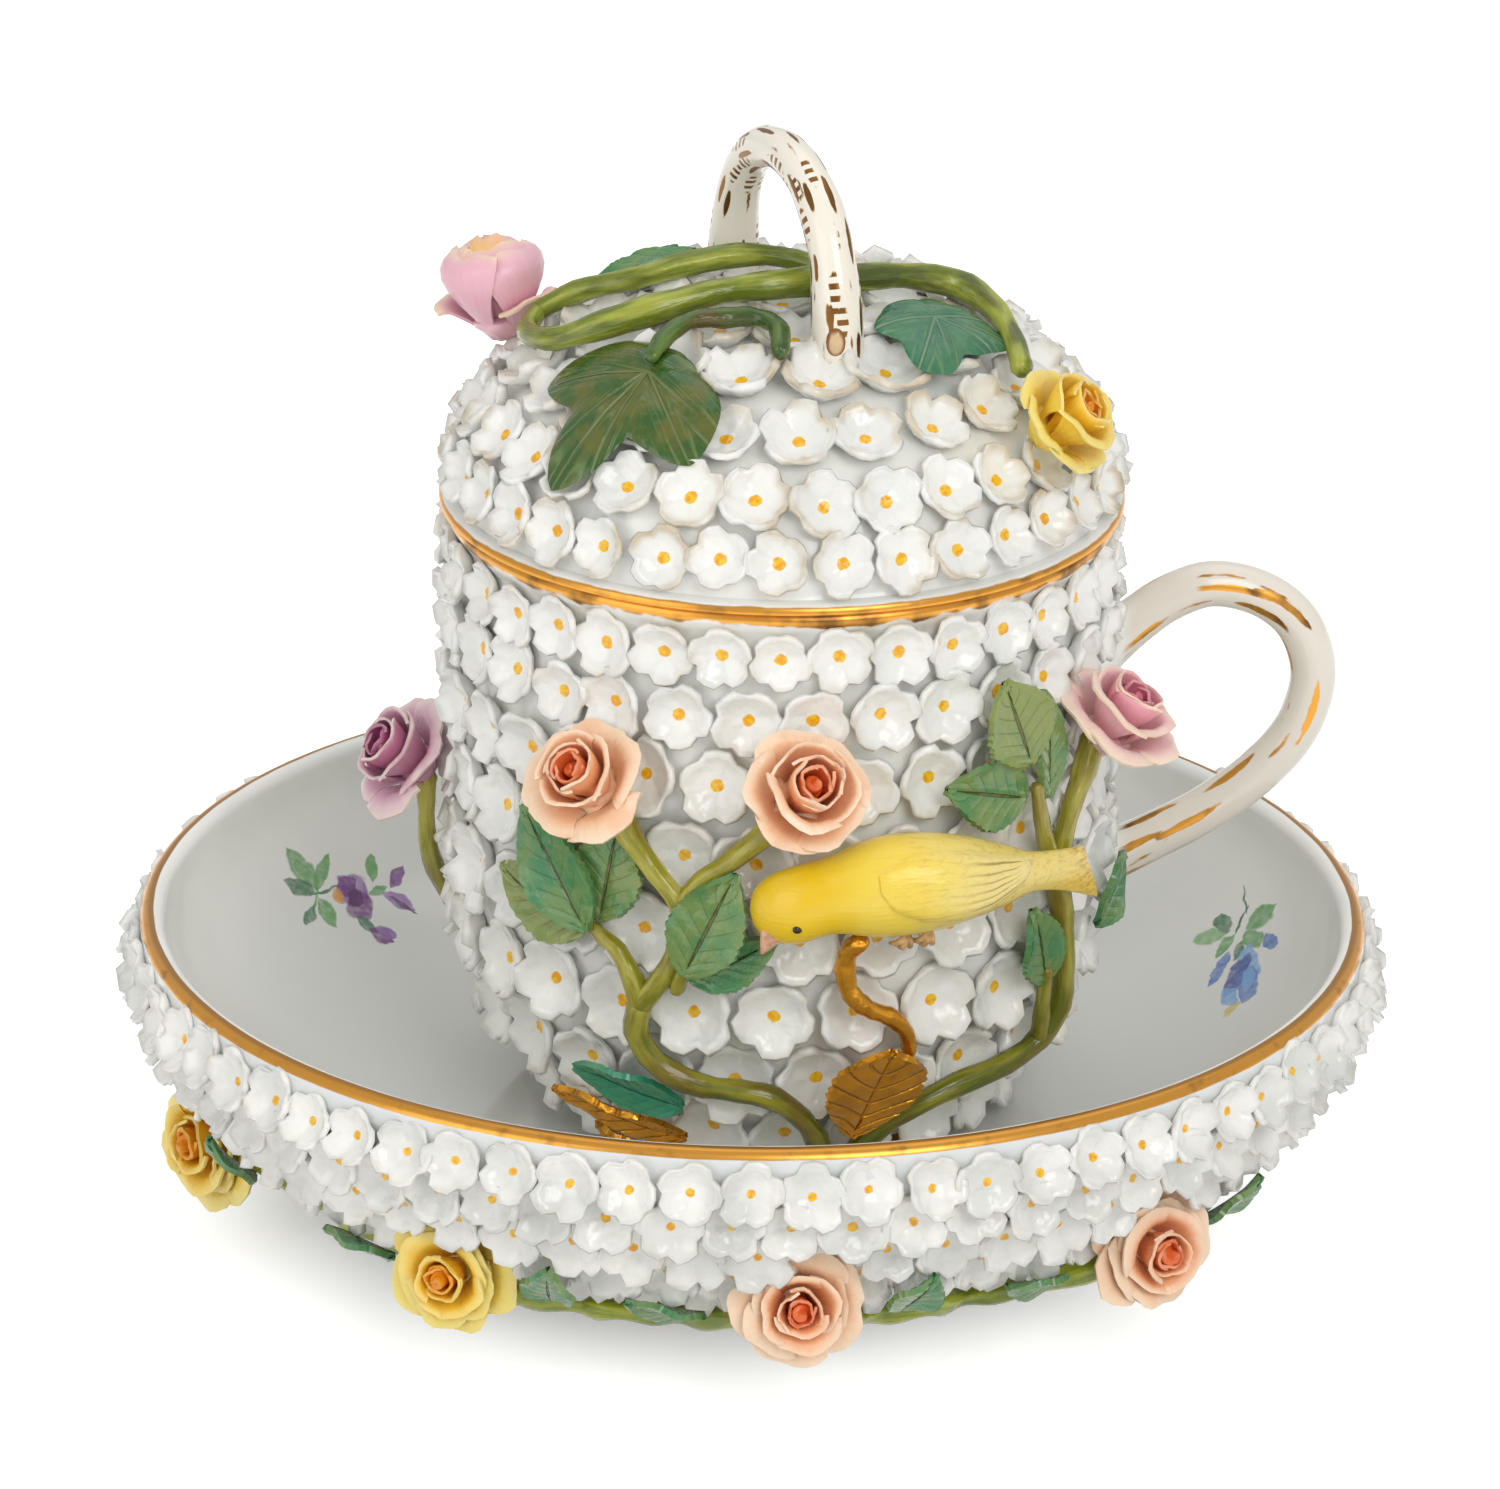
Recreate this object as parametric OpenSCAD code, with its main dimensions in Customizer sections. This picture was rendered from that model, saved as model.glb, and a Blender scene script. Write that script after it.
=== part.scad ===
// Covered cup and saucer in white porcelain. The cup and the lid are thick with small applied
// blossoms, and carry rose sprays, leaves and a canary. The saucer has blossoms and roses under
// its rim. Millimetres, +Z up, origin at the middle of the saucer's foot ring, front at -Y.

/* [Saucer] */
// Radius of the saucer at its rim
saucer_r = 78.6; // [74:0.2:90]
// Height of the saucer's rim above the table
saucer_h = 41; // [36:1:50]
// Thickness of the saucer's wall at the rim
saucer_wall = 3.2; // [2.4:0.2:4.4]
// Radius of the saucer's foot ring
saucer_foot_r = 35; // [30:1:40]
// Height of the foot ring, up to the underside of the bowl
saucer_foot_h = 10; // [7:0.5:12]
// Width of the foot ring where it meets the table
saucer_foot_w = 4; // [3:0.5:6]
// Thickness of the saucer's floor
saucer_floor = 5.5; // [4:0.5:7]
// Distance of the cup from the middle of the saucer, to the right
cup_aside = 3; // [0:0.5:5]

/* [Cup] */
// Radius of the cup at the belly, without its blossoms
cup_r = 40.2; // [38:0.2:44]
// Height of the cup from its foot to its rim
cup_h = 81; // [74:1:92]
// Thickness of the cup's wall
cup_wall = 3; // [2.4:0.2:4]
// Thickness of the cup's floor above the table side
cup_floor = 5; // [4:0.5:7]
// Radius of the cup's foot
cup_foot_r = 24; // [21:0.5:27]
// Height of the plain band at the foot
cup_foot_h = 1.5; // [1:0.5:3]
// Height above the foot at which the wall turns straight
belly_h = 36.5; // [32:0.5:42]
// How much wider the wall is at the top than at the belly
cup_flare = 0.8; // [0:0.2:1.6]
// How far the gilt lip stands out from the wall
lip_out = 1.5; // [0.8:0.1:2]

/* [Cup handle] */
// How far the handle reaches out from the wall
handle_reach = 28; // [22:1:34]
// Height of the loop, from its low root to its top
handle_rise = 39.5; // [34:0.5:44]
// Height of the low root above the cup's foot
handle_low = 29; // [24:0.5:32]
// Radius of the handle
handle_rod = 2.95; // [2.4:0.05:3.6]
// Extra radius at the two roots
handle_root = 1.1; // [0:0.1:2]
// Direction of the handle, round from the front
handle_turn = 94; // [85:1:110]

/* [Lid] */
// How far the lid's gilt edge reaches over the cup's mouth
lid_over = 5.3; // [4.6:0.1:6.4]
// Set-back of the dome from the gilt edge
dome_in = 2.3; // [1.6:0.1:3.5]
// Height of the dome above the gilt edge
dome_h = 25; // [20:0.5:32]
// Thickness of the lid
lid_wall = 3; // [2.4:0.2:4]
// Thickness of the gilt edge
lid_edge = 1.5; // [1:0.1:2.5]
// Depth of the collar that holds the lid in the cup
collar_h = 5; // [3:0.5:8]
// Clearance between the collar and the cup's wall
collar_gap = 0.5; // [0.3:0.1:1]
// Distance between the feet of the twig handle
arch_span = 35; // [28:1:40]
// Height of the twig handle above the dome
arch_rise = 19; // [15:1:26]
// Radius of the twig
arch_rod = 2.7; // [2.2:0.1:3.4]
// Direction of the twig handle, round from front to back
arch_turn = 22; // [0:1:45]

/* [Applied ornament] */
// Radius of a blossom of the usual size
blossom_r = 5; // [4.2:0.1:5.6]
// Gap between an applied piece and what carries it
seat_gap = 0.15; // [0.1:0.05:0.25]
// Height of a blossom's petal tips above the wall
petal_h = 2.5; // [1.8:0.1:2.6]
// Height at which stems, leaves and roses begin, clear of the blossoms
over_h = 3.15; // [3.1:0.05:4]
// Thickness of a leaf along its midrib
leaf_t = 1.2; // [0.8:0.1:1.6]
// Radius of the roses' stems on the cup
stem_r = 1.5; // [1:0.1:1.8]
// Radius of the vine on the lid
vine_r = 2.1; // [1.6:0.1:2.4]
// Radius of the roses on the cup and the lid, in percent of the cup's radius
rose_share = 19.4; // [16:0.2:21]
// Radius of the roses under the saucer
small_rose_r = 7.6; // [6.4:0.1:8]
// Length of the canary from beak to tail, in percent of the cup's radius
bird_share = 112; // [96:2:118]

/* [Hidden] */
porcelain = "#F1F3F2";
gilt = "#C8923A";
leaf_green = "#2F6B3F";
teal = "#3C8F6E";
olive = "#7F8E38";
peach = "#F2B48C";
yellow = "#F2D552";
pink = "#E9B7C6";
mauve = "#B8607F";
round_fn = 96;
arc_steps = 14;
petals = 5;
seat_z = saucer_foot_h + saucer_floor;
rim_z = seat_z + cup_h;
saucer_bend_r = saucer_foot_r + 1;
saucer_bend_z = saucer_h - saucer_wall / 2;
bowl_r = saucer_foot_r - 1;
bowl_side = saucer_r - saucer_wall - bowl_r;
belly_drop = (belly_h - cup_foot_h) / sqrt(1 - pow(cup_foot_r / cup_r, 2));
flare_slope = cup_flare / (cup_h - belly_h);
cup_top_r = cup_r + cup_flare;
mouth_r = cup_top_r - cup_wall;
collar_r = mouth_r - collar_gap;
lid_r = mouth_r + lid_over;
dome_r = lid_r - dome_in;
dome_z = rim_z + lid_edge;
rose_r = cup_r * rose_share / 100;
bird_len = cup_r * bird_share / 100;
leaf_unit = cup_r / 40;
lid_unit = dome_r / 40;
stem_off = over_h + stem_r;
vine_off = over_h + vine_r;

// Vector help: a sum along three axes, and a smooth line through chosen points
function along(f, x, y, h) = f[0] + x * f[1] + y * f[2] + h * f[3];
function blend(p0, p1, p2, p3, t) = 0.5 * (2 * p1 + (p2 - p0) * t
    + (2 * p0 - 5 * p1 + 4 * p2 - p3) * t * t
    + (3 * p1 - p0 - 3 * p2 + p3) * t * t * t);
function smooth(p, k) = [
    for (i = [0 : len(p) - 2])
        for (j = [0 : k - 1])
            blend(p[max(i - 1, 0)], p[i], p[i + 1], p[min(i + 2, len(p) - 1)], j / k),
    p[len(p) - 1]];

// Places on the cup's wall: a is degrees round from the front, u is percent of the height,
// d is the distance off the wall. A frame is a point with its right, up and outward directions
function cup_wall_r(z) = z < belly_h
    ? cup_r * sqrt(1 - pow((belly_h - z) / belly_drop, 2))
    : cup_r + flare_slope * (z - belly_h);
function cup_slope(z) = z < belly_h
    ? [cup_wall_r(z) / pow(cup_r, 2), (z - belly_h) / pow(belly_drop, 2)]
    : [1, -flare_slope];
function turned(a, r, z) = [r * sin(a), -r * cos(a), z];
function frame_at(a, r, z, n, d, x0) = let (
    m = n / norm(n),
    e = [cos(a), sin(a), 0],
    o = turned(a, m[0], m[1]))
    [turned(a, r, z) + d * o + [x0, 0, 0], e, cross(o, e), o];
function cup_frame(a, u, d) = let (z = cup_h * u / 100)
    frame_at(a, cup_wall_r(z), seat_z + z, cup_slope(z), d, cup_aside);
function cup_at(a, u, d) = cup_frame(a, u, d)[0];

// Places on the dome of the lid: x and y in plan from its middle, in fortieths of its radius,
// d off the surface
function lid_frame(x, y, d) = let (
    r = norm([x, y]) * lid_unit,
    side = dome_r + d,
    rise = dome_h + d,
    z = rise * sqrt(1 - pow(r / side, 2)))
    frame_at(atan2(x, -y), r, dome_z + z, [r / pow(side, 2), z / pow(rise, 2)], 0, cup_aside);
function lid_at(x, y, d) = lid_frame(x, y, d)[0];

// Places under the saucer's rim: a is degrees round from the front, t runs from 0 at the rim
// to 90 at the foot
function saucer_frame(a, t, d) = let (
    w = saucer_r - saucer_bend_r,
    h = saucer_bend_z - saucer_foot_h)
    frame_at(a, saucer_bend_r + w * cos(t), saucer_bend_z - h * sin(t),
        [cos(t) / w, -sin(t) / h], d, 0);
function saucer_at(a, t, d) = saucer_frame(a, t, d)[0];

// A frame tipped upward about its own right direction
function tipped(f, tip) = [f[0], f[1], f[2] * cos(tip) - f[3] * sin(tip),
    f[3] * cos(tip) + f[2] * sin(tip)];

// The same place, facing a direction round from the front and level with the table
function facing(f, a) = let (e = [cos(a), sin(a), 0], o = turned(a, 1, 0))
    [f[0], e, cross(o, e), o];

// Closed skins over rings of points, all in one polyhedron: each shell is a list of rings
function skin_faces(n, m, at) = concat(
    [for (k = [0 : n - 2]) for (i = [0 : m - 1]) let (j = (i + 1) % m)
        each [[at + k * m + i, at + (k + 1) * m + i, at + (k + 1) * m + j],
            [at + k * m + i, at + (k + 1) * m + j, at + k * m + j]]],
    [for (i = [1 : m - 2]) [at, at + i, at + i + 1]],
    [for (i = [1 : m - 2]) [at + (n - 1) * m, at + (n - 1) * m + i + 1, at + (n - 1) * m + i]]);
module skins(shells) {
    sizes = [for (s = shells) len(s) * len(s[0])];
    starts = [for (i = 0, at = 0; i < len(shells); at = at + sizes[i], i = i + 1) at];
    polyhedron(
        points = [for (s = shells) for (ring = s) each ring],
        faces = [for (i = [0 : len(shells) - 1])
            each skin_faces(len(shells[i]), len(shells[i][0]), starts[i])]);
}

// A round rod that follows a line in the XZ plane, with a radius for each point
function rod_rings(line, radii, sides) = [for (i = [0 : len(line) - 1]) let (
    ahead = line[min(i + 1, len(line) - 1)] - line[max(i - 1, 0)],
    t = ahead / norm(ahead))
    [for (k = [0 : sides - 1]) let (b = 360 * k / sides)
        [line[i][0] - t[1] * radii[i] * sin(b), radii[i] * cos(b), line[i][1]
            + t[0] * radii[i] * sin(b)]]];

// A stem through points, each with its radius as a fourth number
module stem(line) {
    for (i = [0 : len(line) - 2])
        hull() {
            translate(line[i][0]) sphere(r = line[i][1], $fn = 7);
            translate(line[i + 1][0]) sphere(r = line[i + 1][1], $fn = 7);
        }
}
module cup_stem(path, k = 2) {
    stem([for (p = smooth(path, k)) [cup_at(p[0], p[1], p[2]), p[3]]]);
}
module lid_stem(path, k = 2) {
    stem([for (p = smooth(path, k)) [lid_at(p[0], p[1], p[2]), p[3]]]);
}

// One blossom: a small three-cornered base, five petal tips with a notch between each pair,
// and a sunk middle. All blossoms of one carrier are one polyhedron of separate solids
blossom_base = 0.45;
petal_notch = 0.87;
notch_drop = 0.7;
cup_depth = 0.45;
function blossom_points(f, r, spin) = concat(
    [for (k = [0 : 2]) along(f, blossom_base * r * cos(spin + 120 * k),
        blossom_base * r * sin(spin + 120 * k), seat_gap)],
    [for (k = [0 : 2 * petals - 1]) let (
        tip = k % 2 == 0,
        q = r * (tip ? 1 : petal_notch),
        b = spin + 180 * k / petals)
        along(f, q * cos(b), q * sin(b), petal_h * (tip ? 1 : notch_drop))],
    [along(f, 0, 0, petal_h * cup_depth)]);
function blossom_corner(k) = floor((360 * (k + 0.5) / (2 * petals) + 60) / 120) % 3;
function blossom_faces(at) = let (n = 2 * petals) concat(
    [[at, at + 1, at + 2]],
    [for (k = [0 : n - 1]) let (a = at + 3 + k, b = at + 3 + (k + 1) % n)
        each [[b, a, at + 3 + n], [a, b, at + blossom_corner(k)]]],
    [for (k = [0 : n - 1]) let (
        c = blossom_corner((k + n - 1) % n),
        d = blossom_corner(k))
        if (c != d) [at + c, at + 3 + k, at + d]]);
module blossoms(list) {
    each_n = 4 + 2 * petals;
    polyhedron(
        points = [for (b = list) each blossom_points(b[0], b[1], b[2])],
        faces = [for (i = [0 : len(list) - 1]) each blossom_faces(i * each_n)]);
}
function clear_of(p, spots) = min([for (s = spots) norm(p - s[0]) - s[1]]) > 0;

// A leaf blade: a rib that stands proud and two thin edges, bent with the wall under it.
// turn is the way it points, 0 to the right and 90 up; bend is the two bend radii of the wall
function leaf_rings(f, length, width, turn, bend, steps = 6) = [for (i = [0 : steps]) let (
    s = i / steps,
    half = 0.5 * width * max(0.12, pow(sin(180 * pow(s, 0.85)), 0.8)),
    x = length * s)
    [for (c = [[half, 0.2], [0, 0.5], [-half, 0.2], [0, -0.5]]) let (
        px = x * cos(turn) - c[0] * sin(turn),
        py = x * sin(turn) + c[0] * cos(turn))
        along(f, px, py, c[1] * leaf_t - px * px / (2 * bend[0]) - py * py / (2 * bend[1]))]];

// A lobed leaf: outline points at chosen bearings and distances round its middle
function lobed_rings(f, lobes, bend, scale) = let (n = len(lobes)) [
    for (w = [[0.04, -0.5], [0.6, -0.35], [1, 0], [0.6, 0.45], [0.04, 0.5]])
        [for (i = [0 : n - 1]) let (
            q = w[0] * lobes[i][1] * scale,
            px = q * cos(lobes[i][0]),
            py = q * sin(lobes[i][0]))
            along(f, px, py, w[1] * leaf_t - (px * px + py * py) / (2 * bend))]];

// A rose: a cone of sepals, then an outer and an inner round of petals about a bud
rose_depth = 0.61;
rose_front = 0.66;
rose_sides = 15;
function rose_rings(f, r, sides = rose_sides) = [
    for (w = [[0.24, -rose_depth, 0, 0], [0.74, -0.15, 0.04, 0], [1, 0.25, 0.09, 0],
            [0.78, 0.18, 0.05, 0], [0.66, 0.5, 0.09, 36], [0.46, 0.4, 0.04, 36],
            [0.36, rose_front, 0.06, 0], [0.12, 0.5, 0, 0]])
        [for (k = [0 : sides - 1]) let (
            b = 360 * k / sides,
            q = r * w[0] * (1 - 0.09 + w[2] * cos(petals * (b - w[3]))))
            along(f, q * cos(b), q * sin(b), r * w[1])]];

// Bodies of the saucer, the cup and the lid, turned about their axes
module saucer_body() {
    steps = [0 : arc_steps];
    foot_in = saucer_foot_r - saucer_foot_w;
    rotate_extrude($fn = round_fn)
        polygon(concat(
            [for (i = steps) let (t = 90 * i / arc_steps)
                [saucer_bend_r + (saucer_r - saucer_bend_r) * cos(t),
                    saucer_bend_z - (saucer_bend_z - saucer_foot_h) * sin(t)]],
            [[saucer_foot_r, saucer_foot_h], [saucer_foot_r, 0.6],
                [saucer_foot_r - 0.6, 0], [foot_in + 0.6, 0], [foot_in, 0.6],
                [foot_in - 1, saucer_foot_h], [0, saucer_foot_h], [0, seat_z]],
            [for (i = steps) let (t = 90 - 90 * i / arc_steps)
                [bowl_r + bowl_side * cos(t), saucer_bend_z - (saucer_bend_z - seat_z) * sin(t)]],
            [for (i = [1 : 4]) let (t = 180 - 36 * i)
                [saucer_r - saucer_wall / 2 + saucer_wall / 2 * cos(t),
                    saucer_bend_z + saucer_wall / 2 * sin(t)]]));
}

foot_recess = 1.5;
foot_ring_w = 4;
lip_h = 3.4;
lip_round = 0.5;
lip_land = 1.1;
module cup_body() {
    start = acos(cup_foot_r / cup_r);
    in_r = cup_r - cup_wall;
    in_drop = belly_drop - cup_wall;
    in_start = asin((belly_h - cup_floor) / in_drop);
    foot_in = cup_foot_r - foot_ring_w;
    rotate_extrude($fn = round_fn)
        polygon(concat(
            [[0, foot_recess], [foot_in, foot_recess], [foot_in + foot_recess, 0],
                [cup_foot_r - lip_round, 0], [cup_foot_r, lip_round]],
            [for (i = [0 : arc_steps]) let (t = start * (1 - i / arc_steps))
                [cup_r * cos(t), belly_h - belly_drop * sin(t)]],
            [[cup_wall_r(cup_h - lip_h), cup_h - lip_h],
                [cup_top_r + lip_out, cup_h - lip_land],
                [cup_top_r + lip_out, cup_h - lip_round],
                [cup_top_r + lip_out - lip_round, cup_h],
                [mouth_r + lip_round, cup_h], [mouth_r, cup_h - lip_round]],
            [for (i = [0 : arc_steps]) let (t = in_start * i / arc_steps)
                [in_r * cos(t), belly_h - in_drop * sin(t)]],
            [[0, cup_floor]]));
}

module lid_body() {
    in_r = collar_r - lid_wall;
    in_h = dome_h + lid_edge - lid_wall;
    rotate_extrude($fn = round_fn)
        polygon(concat(
            [[collar_r, -collar_h + lip_round], [collar_r, 0], [lid_r - lip_round, 0],
                [lid_r, lip_round], [lid_r, lid_edge - lip_round],
                [lid_r - lip_round, lid_edge]],
            [for (i = [0 : arc_steps]) let (t = 90 * i / arc_steps)
                [dome_r * cos(t), lid_edge + dome_h * sin(t)]],
            [for (i = [0 : arc_steps]) let (t = 90 - 90 * i / arc_steps)
                [in_r * cos(t), in_h * sin(t)]],
            [[in_r, -collar_h], [collar_r - lip_round, -collar_h]]));
}

// The loop handle, as shares of its reach and of its rise
handle_line = [[-0.1, 0.69], [0.06, 0.8], [0.19, 0.88], [0.34, 0.955], [0.53, 1], [0.75, 0.965],
    [0.92, 0.87], [1, 0.73], [0.99, 0.6], [0.91, 0.465], [0.74, 0.33], [0.51, 0.21],
    [0.26, 0.115], [0.06, 0.045], [-0.1, 0]];
handle_sides = 12;
module cup_loop() {
    line = smooth([for (p = handle_line)
        [cup_r + handle_reach * p[0], handle_low + handle_rise * p[1]]], 2);
    n = len(line) - 1;
    radii = [for (i = [0 : n]) handle_rod + handle_root * pow(abs(2 * i / n - 1), 6)];
    rotate([0, 0, handle_turn - 90]) skins([rod_rings(line, radii, handle_sides)]);
}

// The twig handle of the lid, an arch with straight sides, and a stub of root at its back foot
arch_sink = 3;
arch_steps = 22;
module lid_arch() {
    foot_z = lid_edge + dome_h * sqrt(1 - pow(arch_span / 2 / dome_r, 2)) - arch_sink;
    top_z = lid_edge + dome_h + arch_rise;
    line = [for (i = [0 : arch_steps]) let (s = 180 * i / arch_steps)
        [-arch_span / 2 * cos(s), foot_z + (top_z - foot_z) * pow(sin(s), 0.6)]];
    radii = [for (i = [0 : arch_steps])
        arch_rod + 0.8 * pow(abs(2 * i / arch_steps - 1), 4)];
    stub = [[arch_span / 2 - 2, foot_z + 3], [arch_span / 2 + 1, foot_z + 4],
        [arch_span / 2 + 5, foot_z + 2]];
    rotate([0, 0, 90 + arch_turn]) {
        skins([rod_rings(line, radii, handle_sides)]);
        skins([rod_rings(stub, [1.5, 2, 0.9], 8)]);
    }
}

// Rows of blossoms: place down the wall, share of the usual radius and start of the row
cup_rows = [[93.8, 0.86, 0], [82.6, 0.88, 6], [71.2, 0.92, 2], [58.8, 1, 9], [45.6, 1.06, 4],
    [32.2, 1.08, 0], [19.2, 1.06, 8], [8.4, 0.94, 3]];
lid_rows = [[10, 0.88, 0], [26, 0.9, 7], [43, 0.98, 3], [59.5, 1, 10], [75, 0.9, 0]];
saucer_rows = [[9.5, 0.84, 0], [24, 0.88, 4], [38.5, 0.94, 1], [53, 0.94, 5], [67, 0.88, 2]];
row_gap = 0.25;
function row_count(r, size) = floor(PI * (r + 1) / (size * blossom_r + row_gap));
function spins(n, seed) = rands(0, 360 / petals, n, seed);
arch_feet = [for (s = [-1, 1]) let (q = s * arch_span / 2 / lid_unit)
    [lid_at(q * sin(arch_turn), -q * cos(arch_turn), 0), blossom_r * 1.72]];
// Roses under the saucer: degrees round, place down the wall, share of the usual radius, and
// the direction that the flower faces, in degrees round
saucer_roses_yellow = [[-75, 42, 1.1, -50], [-31, 41, 0.98, -25], [115, 43, 0.97, 112],
    [158, 43, 0.95, 160]];
saucer_roses_peach = [[5, 38, 0.95, 3], [44.5, 40, 1.02, 32], [-158, 43, 0.97, -160],
    [-115, 43, 0.97, -112]];
saucer_rose_off = 5.1;
// Right foot of the loop handle on the wall, and its upper root
handle_spots = [for (p = [handle_low + 2, handle_low + handle_rise * 0.77])
    [cup_at(handle_turn, 100 * p / cup_h, 0), blossom_r * 1.84]];

module cup_flowers() {
    blossoms([for (j = [0 : len(cup_rows) - 1]) let (
        row = cup_rows[j],
        n = row_count(cup_wall_r(cup_h * row[0] / 100), row[1]),
        spin = spins(n, 20 + j))
        for (i = [0 : n - 1]) let (f = cup_frame(row[2] + 360 * i / n, row[0], 0))
            if (clear_of(f[0], handle_spots)) [f, row[1] * blossom_r, spin[i]]]);
}
module lid_flowers() {
    blossoms([for (j = [0 : len(lid_rows) - 1]) let (
        row = lid_rows[j],
        r = dome_r * cos(row[0]),
        n = row_count(r, row[1]),
        spin = spins(n, 40 + j))
        for (i = [0 : n - 1]) let (
            a = row[2] + 360 * i / n,
            f = lid_frame(r * sin(a) / lid_unit, -r * cos(a) / lid_unit, 0))
            if (clear_of(f[0], arch_feet)) [f, row[1] * blossom_r, spin[i]]]);
}
module saucer_flowers() {
    spots = [for (p = concat(saucer_roses_yellow, saucer_roses_peach))
        [saucer_at(p[0], p[1], 0), small_rose_r * 1.6]];
    blossoms([for (j = [0 : len(saucer_rows) - 1]) let (
        row = saucer_rows[j],
        n = row_count(saucer_bend_r + (saucer_r - saucer_bend_r) * cos(row[0]), row[1]),
        spin = spins(n, 60 + j))
        for (i = [0 : n - 1]) let (f = saucer_frame(row[2] + 360 * i / n, row[0], 0))
            if (clear_of(f[0], spots)) [f, row[1] * blossom_r, spin[i]]]);
}

// Roses on the cup: degrees round, percent of the height, share of the usual radius
rose_tip = 20;
rose_off = over_h + rose_r * 0.55;
module cup_rose(a, u, share) {
    skins([rose_rings(tipped(cup_frame(a, u, rose_off), rose_tip), rose_r * share)]);
}
module lid_rose(x, y, share, tip) {
    skins([rose_rings(tipped(lid_frame(x, y, rose_off + 0.3), tip), rose_r * share)]);
}
module saucer_roses(list) {
    skins([for (p = list) rose_rings(facing(saucer_frame(p[0], p[1], saucer_rose_off * pow(p[2], 2)), p[3]),
        small_rose_r * p[2], 10)]);
}

// Leaves on the cup: degrees round, percent of the height, distance off, length and width in
// fortieths of the cup's radius, and the way it points
cup_bend = [cup_r + 8, 260];
module cup_leaves(list) {
    skins([for (p = list) leaf_rings(cup_frame(p[0], p[1], over_h + p[2]),
        p[3] * leaf_unit, p[4] * leaf_unit, p[5], cup_bend)]);
}

// The canary: place along it, up and out, then half its height and half its depth
canary_line = [[-19.6, -1.5, -0.3, 0.8, 0.7], [-19, -1.4, -0.3, 2.6, 2.2],
    [-17.2, -1.1, -0.2, 4.2, 3.7], [-14.5, -0.5, 0, 4.9, 4.3], [-10.5, 0.7, 0, 5.1, 4.7],
    [-5, 1.4, 0, 6.3, 5.4], [1, 1.4, 0, 6.4, 5.4], [7, 1.1, 0, 5.4, 4.8],
    [12.5, 0.3, -0.2, 3.9, 3.6], [17, -0.6, -0.5, 2.7, 2.2], [22, -2.3, -0.8, 2.9, 1.2],
    [26.8, -4.6, -1, 3.3, 0.7]];
// Root and tip of the beak: along, up, out and radius
canary_beak = [[-17.3, -4.2, -0.2, 1.5], [-18, -7.2, -0.3, 0.3]];
canary_sides = 12;
canary_place = [20, 57];
canary_off = over_h + 5.5;
module canary_body() {
    f = cup_frame(canary_place[0], canary_place[1], canary_off);
    k = bird_len / 45;
    bend = cup_r + canary_off;
    skins([[for (p = canary_line)
        [for (i = [0 : canary_sides - 1]) let (b = 360 * i / canary_sides, x = k * p[0])
            along(f, x, k * (p[1] + p[3] * cos(b)),
                k * (p[2] + p[4] * sin(b)) - x * x / (2 * bend))]]]);
    hull()
        for (p = canary_beak)
            translate(along(f, k * p[0], k * p[1], k * p[2] - pow(k * p[0], 2) / (2 * bend)))
                sphere(r = k * p[3], $fn = 8);
}

// Nodes
module saucer() { color(porcelain) saucer_body(); }
module cup() {
    color(porcelain) translate([cup_aside, 0, seat_z]) union() {
        cup_body();
        difference() {
            cup_loop();
            cylinder(r = mouth_r, h = cup_h, $fn = round_fn);
        }
    }
}
module lid() {
    color(porcelain) translate([cup_aside, 0, rim_z]) union() {
        lid_body();
        lid_arch();
    }
}
module saucer_blossoms() { color(porcelain) saucer_flowers(); }
module cup_blossoms() { color(porcelain) cup_flowers(); }
module lid_blossoms() { color(porcelain) lid_flowers(); }

module left_rose_branch() {
    color(olive) {
        cup_stem([[11, 7.5, stem_off, stem_r], [8.5, 13.5, stem_off, stem_r],
            [5, 18, stem_off, stem_r], [0, 21.8, stem_off, stem_r],
            [-6, 23, stem_off, stem_r], [-12.5, 23.4, stem_off, stem_r],
            [-18, 25, stem_off, stem_r], [-21.8, 27.8, stem_off, stem_r],
            [-23.5, 31.5, stem_off, stem_r], [-22.5, 36, stem_off, stem_r]]);
        cup_stem([[-22.5, 36, stem_off, stem_r], [-23.5, 40, stem_off, 1.3],
            [-26, 44, stem_off, 1.2], [-27.6, 44.2, stem_off, 1]]);
        cup_stem([[-22.5, 36, stem_off, stem_r], [-18, 41.5, stem_off, 1.3],
            [-16, 46.5, stem_off, 1.2], [-15.5, 53, stem_off, 1.2],
            [-19.5, 58, stem_off, 1.2], [-25.3, 64.5, stem_off, 1.2]]);
        cup_stem([[-15.5, 53, stem_off, 1.2], [-12, 57.5, stem_off, 1.2],
            [-7, 61.5, stem_off, 1.2], [-1.5, 66.5, stem_off, 1.2]]);
    }
}
module right_rose_branch() {
    color(olive) {
        cup_stem([[17, 8, stem_off, stem_r], [19.5, 13.5, stem_off, stem_r],
            [25.5, 17.5, stem_off, stem_r], [35, 20.5, stem_off, stem_r],
            [46, 21.5, stem_off, stem_r], [54, 23.5, stem_off, stem_r],
            [57, 28.5, stem_off, stem_r], [55, 36, stem_off, 1.4],
            [53, 44, stem_off, 1.4], [51.5, 50, stem_off, 1.4]]);
        cup_stem([[51.5, 50, stem_off, 1.3], [48.5, 56, stem_off, 1.2],
            [46.3, 62, stem_off, 1.1]]);
        cup_stem([[51.5, 50, stem_off, 1.3], [52, 56, stem_off, 1.3],
            [54.5, 62, stem_off, 1.3], [57.8, 67, stem_off, 1.3]]);
        cup_stem([[54, 23.5, stem_off, 1.2], [52, 28, stem_off, 1.1],
            [50.8, 32, stem_off, 1]]);
    }
}
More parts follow.
